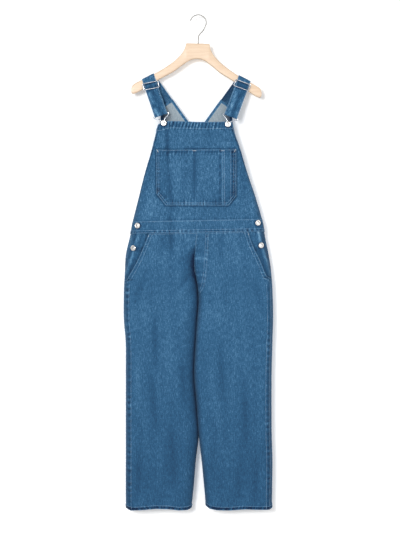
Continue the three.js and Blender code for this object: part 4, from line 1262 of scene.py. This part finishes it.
def hanger_body(material):
    """Upright sections with rounded corners, close together where the outline bends."""
    half = np.array([(row["x"], row["top"], row["low"]) for row in HANGER_HALF])
    fine = smooth_rows(list(half[3:]), 5)
    half = np.concatenate([half[:1], [[9, -86.3, -134.1]], half[1:2], [[26, -86.3, -140.6]], half[2:3], fine])
    stations = np.concatenate([half[:0:-1] * (-1, 1, 1), half])
    reach = HANGER_THICKNESS / 2 - HANGER_ROUNDING
    points = []
    corners = ((1, 1, 0), (-1, 1, 90), (-1, -1, 180), (1, -1, 270))
    for x, top, low in stations:
        for side_y, side_z, start in corners:
            centre_z = (top + low) / 2 + side_z * ((top - low) / 2 - HANGER_ROUNDING)
            for y, z in arc((side_y * reach, centre_z), HANGER_ROUNDING, start, start + 90, 6):
                points.append((x, y, z))
    size = len(corners) * 7
    faces = ring_faces(len(stations), size)
    faces.append(tuple(range(size - 1, -1, -1)))
    faces.append(tuple(range(len(points) - size, len(points))))
    return smooth_mesh("wooden_hanger", turned(points, HANGER_TILT, (0, 0, 0)), faces, material)


# Stitches: thread laid along lines on the cloth

def stitch_tree(name, thread):
    """Geometry nodes that lay short lengths of thread along lines."""
    tree = bpy.data.node_groups.new(name, "GeometryNodeTree")
    tree.is_modifier = True
    new_socket = tree.interface.new_socket
    new_socket("Geometry", in_out="INPUT", socket_type="NodeSocketGeometry")
    for label, value in (("Pitch", 0.0036), ("Length", 0.0031), ("Thread", 0.00105), ("Unevenness", 0.12)):
        new_socket(label, in_out="INPUT", socket_type="NodeSocketFloat").default_value = value
    new_socket("Seed", in_out="INPUT", socket_type="NodeSocketInt").default_value = 7
    new_socket("Geometry", in_out="OUTPUT", socket_type="NodeSocketGeometry")
    nodes = Nodes(tree)
    sizes = nodes.add("NodeGroupInput").outputs

    line = nodes.add("GeometryNodeMeshToCurve", {"Mesh": sizes["Geometry"]})
    spaced = nodes.add("GeometryNodeResampleCurve", {"Curve": line.outputs[0], "Length": sizes["Pitch"]},
                       mode="LENGTH")
    bead = nodes.add("GeometryNodeMeshUVSphere", {"Segments": 6, "Rings": 4, "Radius": 0.5})
    size = nodes.add("ShaderNodeCombineXYZ", {"X": sizes["Thread"], "Y": sizes["Thread"], "Z": sizes["Length"]})
    shape = nodes.add("GeometryNodeTransform", {"Geometry": bead.outputs[0], "Scale": size.outputs[0]})
    out = nodes.add("GeometryNodeInputNamedAttribute", {"Name": "out"}, data_type="FLOAT_VECTOR")
    tangent = nodes.add("GeometryNodeInputTangent")
    turn = nodes.add("FunctionNodeAxesToRotation", {
        "Primary Axis": tangent.outputs[0], "Secondary Axis": out.outputs["Attribute"]},
        primary_axis="Z", secondary_axis="X")
    low, high = (nodes.maths(operation, 1.0, sizes["Unevenness"]) for operation in ("SUBTRACT", "ADD"))
    scatter = nodes.add("FunctionNodeRandomValue", {"Seed": sizes["Seed"], 2: low, 3: high}, data_type="FLOAT")
    laid = nodes.add("GeometryNodeInstanceOnPoints", {
        "Points": spaced.outputs[0], "Instance": shape.outputs[0], "Rotation": turn.outputs[0],
        "Scale": scatter.outputs[1]})
    real = nodes.add("GeometryNodeRealizeInstances", {"Geometry": laid.outputs[0]})
    smooth = nodes.add("GeometryNodeSetShadeSmooth", {"Geometry": real.outputs[0]})
    dyed = nodes.add("GeometryNodeSetMaterial", {"Geometry": smooth.outputs[0], "Material": thread})
    nodes.add("NodeGroupOutput", {"Geometry": dyed.outputs[0]})
    return tree


def stitches(name, tree, lines, seed, **sizes):
    """One piece of all the stitches along lines of (point, normal)."""
    points, edges, outs = [], [], []
    for line in lines:
        if len(line) < 2:
            continue
        edges += [(len(points) + i, len(points) + i + 1) for i in range(len(line) - 1)]
        points += [(np.array(point) + THREAD_LIFT * np.array(normal)) * MM for point, normal in line]
        outs += [normal for _, normal in line]
    mesh = bpy.data.meshes.new(name + "_lines")
    mesh.from_pydata([tuple(point) for point in points], edges, [])
    data = mesh.attributes.new("out", "FLOAT_VECTOR", "POINT")
    data.data.foreach_set("vector", np.array(outs, dtype=np.float32).ravel())
    source = show(name + "_lines", mesh)
    modifier = source.modifiers.new("stitching", "NODES")
    modifier.node_group = tree
    identifiers = {item.name: item.identifier for item in tree.interface.items_tree if item.in_out == "INPUT"}
    for label, value in {"seed": seed, **sizes}.items():
        modifier[identifiers[label.capitalize()]] = value
    evaluated = source.evaluated_get(bpy.context.evaluated_depsgraph_get())
    final = bpy.data.meshes.new_from_object(evaluated)
    final.name = name
    source.modifiers.remove(modifier)
    bpy.data.objects.remove(source)
    return show(name, final)


def tack(name, x, z, length, angle):
    """A bar tack: a short dense row across the end of a seam."""
    dx, dz = math.cos(math.radians(angle)) * length / 2, math.sin(math.radians(angle)) * length / 2
    return cloths[name].line_over([(x - dx, z - dz), (x + dx, z + dz)], 1.0)


# Build the cloth

blue_face = denim("denim", False)
pale_face = denim("denim_inside", True)
wire_metal = metal("silver_wire", colour(206, 211, 219), colour(158, 164, 174), roughness=0.22, brushed=0.1)
button_metal = metal("silver_button", colour(224, 223, 221), colour(192, 189, 186), roughness=0.24, brushed=0.25)
hook_metal = metal("hook_wire", colour(158, 157, 154), colour(126, 125, 122), roughness=0.34, brushed=0.15)

cloths = {
    "bib": make_bib(),
    "bib_pocket": make_pocket(),
    "waistband_front": make_band(front_across, FRONT),
    "waistband_back": make_band(back_across, BACK),
    "fly": make_fly(),
}
for side in SIGN:
    cloths["front_" + side] = make_front(side)
    cloths["back_" + side] = make_back_leg(side)
    cloths["pocket_facing_" + side] = make_facing(side)

clip_depths, strap_ends = {}, {}
for side, sizes in STRAPS.items():
    x, z = bib_button_place(sizes)
    clip_depths[side] = float(np.interp(x, *front_across(z))) - CLIP_GAP - WIRE_RADIUS
    seam = -sizes["seam_at"] - SEAM_GAP
    strap_ends[side] = {
        "neck": strap_place(sizes, seam, STRAP_WIDTH / 2, 0),
        "outer": strap_place(sizes, seam, -STRAP_WIDTH / 2, 0),
        "direction": strap_place(sizes, seam - 100, 0, 0) - strap_place(sizes, seam, 0, 0),
    }
    cloths["strap_" + side] = Strap(sizes, clip_depths[side], SEEDS["strap", side])


def neck_bottom():
    """Where the straps' inner edges meet when they are carried on down the back."""
    a, p = strap_ends["left"]["neck"], strap_ends["left"]["direction"]
    b, q = strap_ends["right"]["neck"], strap_ends["right"]["direction"]
    t = ((b[0] - a[0]) * q[2] - (b[2] - a[2]) * q[0]) / (p[0] * q[2] - p[2] * q[0])
    return a + t * p


def make_back_panel():
    corners = [strap_ends["left"]["outer"], strap_ends["left"]["neck"], neck_bottom(),
               strap_ends["right"]["neck"], strap_ends["right"]["outer"]]
    cloth = Cloth(back_across, edge_through([(x, z) for x, _, z in corners], 2),
                  edge_through(WAIST_TOP, -SEAM_LAP), BACK, (440, 340))
    cloth.crease()
    cloth.seams([
        ("top", 7, 0.5, 15, 0.3, 5, 0.2, 0.35, 0.1, 111),
        ("start", 8, 0.5, 17, 0.35, 7, 0.3, 0.3, 0.1, 112),
        ("end", 8, 0.5, 17, 0.35, 7, -0.3, 0.3, 0.1, 113),
        ("bottom", 0, 0.0, 13, 0.3, 9, 0, 0.22, 0.1, 114),
    ])
    # The clips and strap ends shade the panel's inside behind them
    for clip_x in (-108, 99):
        for amount, width, height in ((0.75, 15, 17), (0.3, 26, 60)):
            cloth.shade_inside = cloth.shade_inside + amount * hump(cloth.x - clip_x, width) * hump(
                cloth.z + 313, height)
    return cloth


cloths["back_panel"] = make_back_panel()


# Wall thicknesses, in millimetres, of the kinds of piece that differ from the plain cloth
WALLS = {"bib_pocket": POCKET_WALL, "fly": POCKET_WALL, "pocket_facing": POCKET_WALL, "strap": STRAP_WALL}

for name, cloth in cloths.items():
    kind = name.removesuffix("_left").removesuffix("_right")
    lining = blue_face if kind in ("strap", "fly") else pale_face
    piece = cloth_mesh("denim_" + name, cloth, WALLS.get(kind, CLOTH_WALL), [blue_face, lining])
    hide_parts(name)
    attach(piece, "root")

# Fittings, each with the node that it stands for and its material slot
fittings = []
for side, sizes in STRAPS.items():
    point, _ = cloths["bib"].place_on(*bib_button_place(sizes))
    fittings += [
        (slider("wire_slider_" + side, sizes, wire_metal), "slider_" + side, "silver_wire"),
        (clip("wire_clip_" + side, sizes, clip_depths[side], wire_metal), "clip_" + side, "silver_wire"),
        (button("shank_bib_button_" + side, BIB_CAP, BIB_SHANK, point, (0, -1, 0), button_metal),
         "bib_button_" + side, "silver_button"),
    ]
for node, carrier, x, z in SIDE_BUTTONS:
    point, normal = cloths[carrier].place_on(x, z)
    fittings.append((button("shank_" + node, SIDE_CAP, SIDE_SHANK, point, normal, button_metal), node,
                     "silver_button"))
fittings += [(hanger_body(birch_wood()), "hanger_body", "pale_wood"), (hook(hook_metal), "hanger_hook", "hook_wire")]
for piece, node, slot_name in fittings:
    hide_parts(node)
    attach(piece, "root")


# Sewing

def beside(name, begin=0.01, stop=0.99, **edges):
    """Lines along a cloth's edges, at one or more distances in from each."""
    return [cloths[name].line_beside(edge, inset, begin, stop) for edge, insets in edges.items() for inset in insets]


def over(name, *lines):
    return [cloths[name].line_over(line) for line in lines]


def inset_outline(points, distance):
    """The points of a line moved to the left of its direction."""
    points = np.array(points, float)
    moved = []
    for i, point in enumerate(points):
        before = points[i] - points[i - 1] if i > 0 else points[1] - points[0]
        after = points[i + 1] - points[i] if i + 1 < len(points) else before
        a = np.array([-before[1], before[0]]) / np.hypot(*before)
        b = np.array([-after[1], after[0]]) / np.hypot(*after)
        bisector = (a + b) / np.linalg.norm(a + b)
        moved.append(tuple(point + bisector * distance / max(bisector @ a, 0.4)))
    return moved


pocket_line = [(-128.7, -412), *POCKET_BOTTOM, (114.4, -410)]
pocket_hems = [inset_outline(pocket_line, inset) for inset in (2.2, 8)]
pen_slot_lines = [[(x, -414), (x + 0.5, -578)] for x in (72.5, 78)] + [[(97.5, -414), (97, -571)]]
fly_inner = [(at(FLY_EDGE, "x", z) - 3, z) for z in (-668, -700, -740, -790, -815, -832, -843)]
fly_outer = [(x - 6.5, z) for x, z in fly_inner[:-1]]
leg_top = SEAM_LAP + 2.6
sewing = {
    "bib": beside("bib", top=(1.8, 20.5), start=(3,), end=(3,)),
    "bib_pocket": over("bib_pocket", *pocket_hems) + beside("bib_pocket", top=(3.4,))
    + over("bib_pocket", *pen_slot_lines),
    "waistband_front": beside("waistband_front", top=(3,), bottom=(2.4, 8.6)),
    "waistband_back": beside("waistband_back", top=(3,), bottom=(2.4, 8.6)),
    "back_panel": beside("back_panel", top=(2, 7.5), start=(2, 8.5), end=(2, 8.5), bottom=(SEAM_LAP + 2.4,)),
    "fly": over("fly", fly_inner, fly_outer),
}
for side, outseam_insets in (("left", (17,)), ("right", (7.5, 18.5))):
    front, back, strap = "front_" + side, "back_" + side, "strap_" + side
    sewing[front] = (beside(front, begin=0.005, start=(2.2, 10.5)) + beside(front, top=(leg_top,), bottom=(10,))
                     + beside(front, stop=0.24, end=(2.6,))
                     + over(front, *(outseam_line(side, inset) for inset in outseam_insets)))
    sewing[back] = beside(back, end=(2.2, 9), top=(leg_top,), bottom=(10,))
    sewing[strap] = beside(strap, start=(3,), end=(3,))

topstitch = stitch_tree("stitching", thread_material())
sewn = [stitches("topstitch_" + name, topstitch, lines, TOPSTITCH_SEED + k)
        for k, (name, lines) in enumerate(sewing.items())]
tacks = [tack(*place) for place in (
    ("bib_pocket", -13.4, -415, 9, 0), ("bib_pocket", 72.9, -415, 8, 0), ("bib_pocket", -125, -415, 8, -60),
    ("bib_pocket", 110.5, -414, 8, 60), ("front_left", -155, -674, 7, 0), ("front_right", 153, -668, 7, 0))]
sewn.append(stitches("bar_tacks", stitch_tree("bar_tacking", tack_material()), tacks, TACK_SEED,
                     pitch=0.0008, length=0.0022, thread=0.0011))
for piece in sewn:
    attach(piece, "root")

# Camera, straight at the front as in the photo
PHOTO_ROWS, ROW_HEIGHT = 533, 3.05 * MM
CAMERA_DISTANCE = 4.5
camera_data = bpy.data.cameras.new("camera")
camera_data.sensor_width = 36
camera_data.lens = camera_data.sensor_width * CAMERA_DISTANCE / (PHOTO_ROWS * ROW_HEIGHT)
camera = show("camera", camera_data)
camera.location = (0.004, -CAMERA_DISTANCE, -0.766)
camera.rotation_euler = (math.radians(90), 0, 0)
bpy.context.scene.camera = camera


def backdrop():
    """A white wall that curves into a pale floor, and a wider floor under it. Each shows only from its front."""
    nodes = Finish("white_backdrop")
    place = nodes.place()
    shade = nodes.blend(nodes.noise(place, 3.0), colour(252, 252, 252), colour(248, 248, 248))
    height = nodes.add("ShaderNodeSeparateXYZ", {"Vector": place}).outputs["Z"]
    # A faint glow keeps the shadow on the wall as light and narrow as the photo's
    glow = nodes.add("ShaderNodeEmission", {"Color": shade, "Strength": nodes.ranged(height, -0.3, -0.6, 0.12, 0.26)})
    paint = nodes.add("ShaderNodeBsdfDiffuse", {"Color": shade})
    white = nodes.add("ShaderNodeAddShader", {0: glow.outputs[0], 1: paint.outputs[0]})
    nodes.end_in(nodes.add("ShaderNodeMixShader", {
        0: nodes.add("ShaderNodeNewGeometry").outputs["Backfacing"], 1: white.outputs[0],
        2: nodes.add("ShaderNodeBsdfTransparent").outputs[0]}))
    wall_y, floor_z, bend, reach, floor_reach = 0.041, -1.95, 0.35, 5.0, 16.0
    profile = [(wall_y, 2.5)] + [(wall_y - bend * (1 - math.cos(t)), floor_z + bend * (1 - math.sin(t)))
                                 for t in np.linspace(0, math.pi / 2, 13)] + [(-7.0, floor_z)]
    points = [(x, y, z) for y, z in profile for x in (-reach, reach)]
    faces = [(2 * i, 2 * i + 2, 2 * i + 3, 2 * i + 1) for i in range(len(profile) - 1)]
    points += [(x, y, floor_z - 0.002) for y in (-floor_reach, floor_reach) for x in (-floor_reach, floor_reach)]
    faces.append(tuple(len(points) - i for i in (4, 3, 1, 2)))
    mesh = bpy.data.meshes.new("backdrop")
    mesh.from_pydata(points, [], faces)
    mesh.polygons.foreach_set("use_smooth", [True] * len(faces))
    piece = show("backdrop", mesh, [nodes.material])
    piece.visible_diffuse = False
    piece.visible_shadow = False


def soft_light(name, size, power, place, aim):
    data = bpy.data.lights.new(name, "AREA")
    data.shape = "DISK"
    data.size = size
    data.energy = power
    lamp = show(name, data)
    lamp.location = place
    lamp.rotation_euler = (Vector(aim) - Vector(place)).to_track_quat("-Z", "Y").to_euler()


backdrop()
soft_light("key", size=1.5, power=222, place=(-1.5, -5.7, 0.12), aim=(0, 0, -0.75))
soft_light("fill", size=2.6, power=26, place=(2.2, -3.4, -0.6), aim=(0, 0, -0.8))
soft_light("back_fill", size=2.4, power=85, place=(0.6, 3.6, 0.2), aim=(0, 0, -0.8))

world = bpy.data.worlds.new("studio")
world.use_nodes = True
sky = Nodes(world.node_tree)
direction = sky.add("ShaderNodeTexCoord").outputs["Generated"]
upwards = sky.add("ShaderNodeSeparateXYZ", {0: direction}).outputs["Z"]
background = sky.tree.nodes["Background"].inputs
background["Color"].default_value = (1, 1, 1, 1)
sky.tree.links.new(sky.ranged(upwards, -0.9, 0.9, 0.34, 0.6), background["Strength"])
bpy.context.scene.world = world
bpy.context.scene.view_settings.view_transform = "Standard"
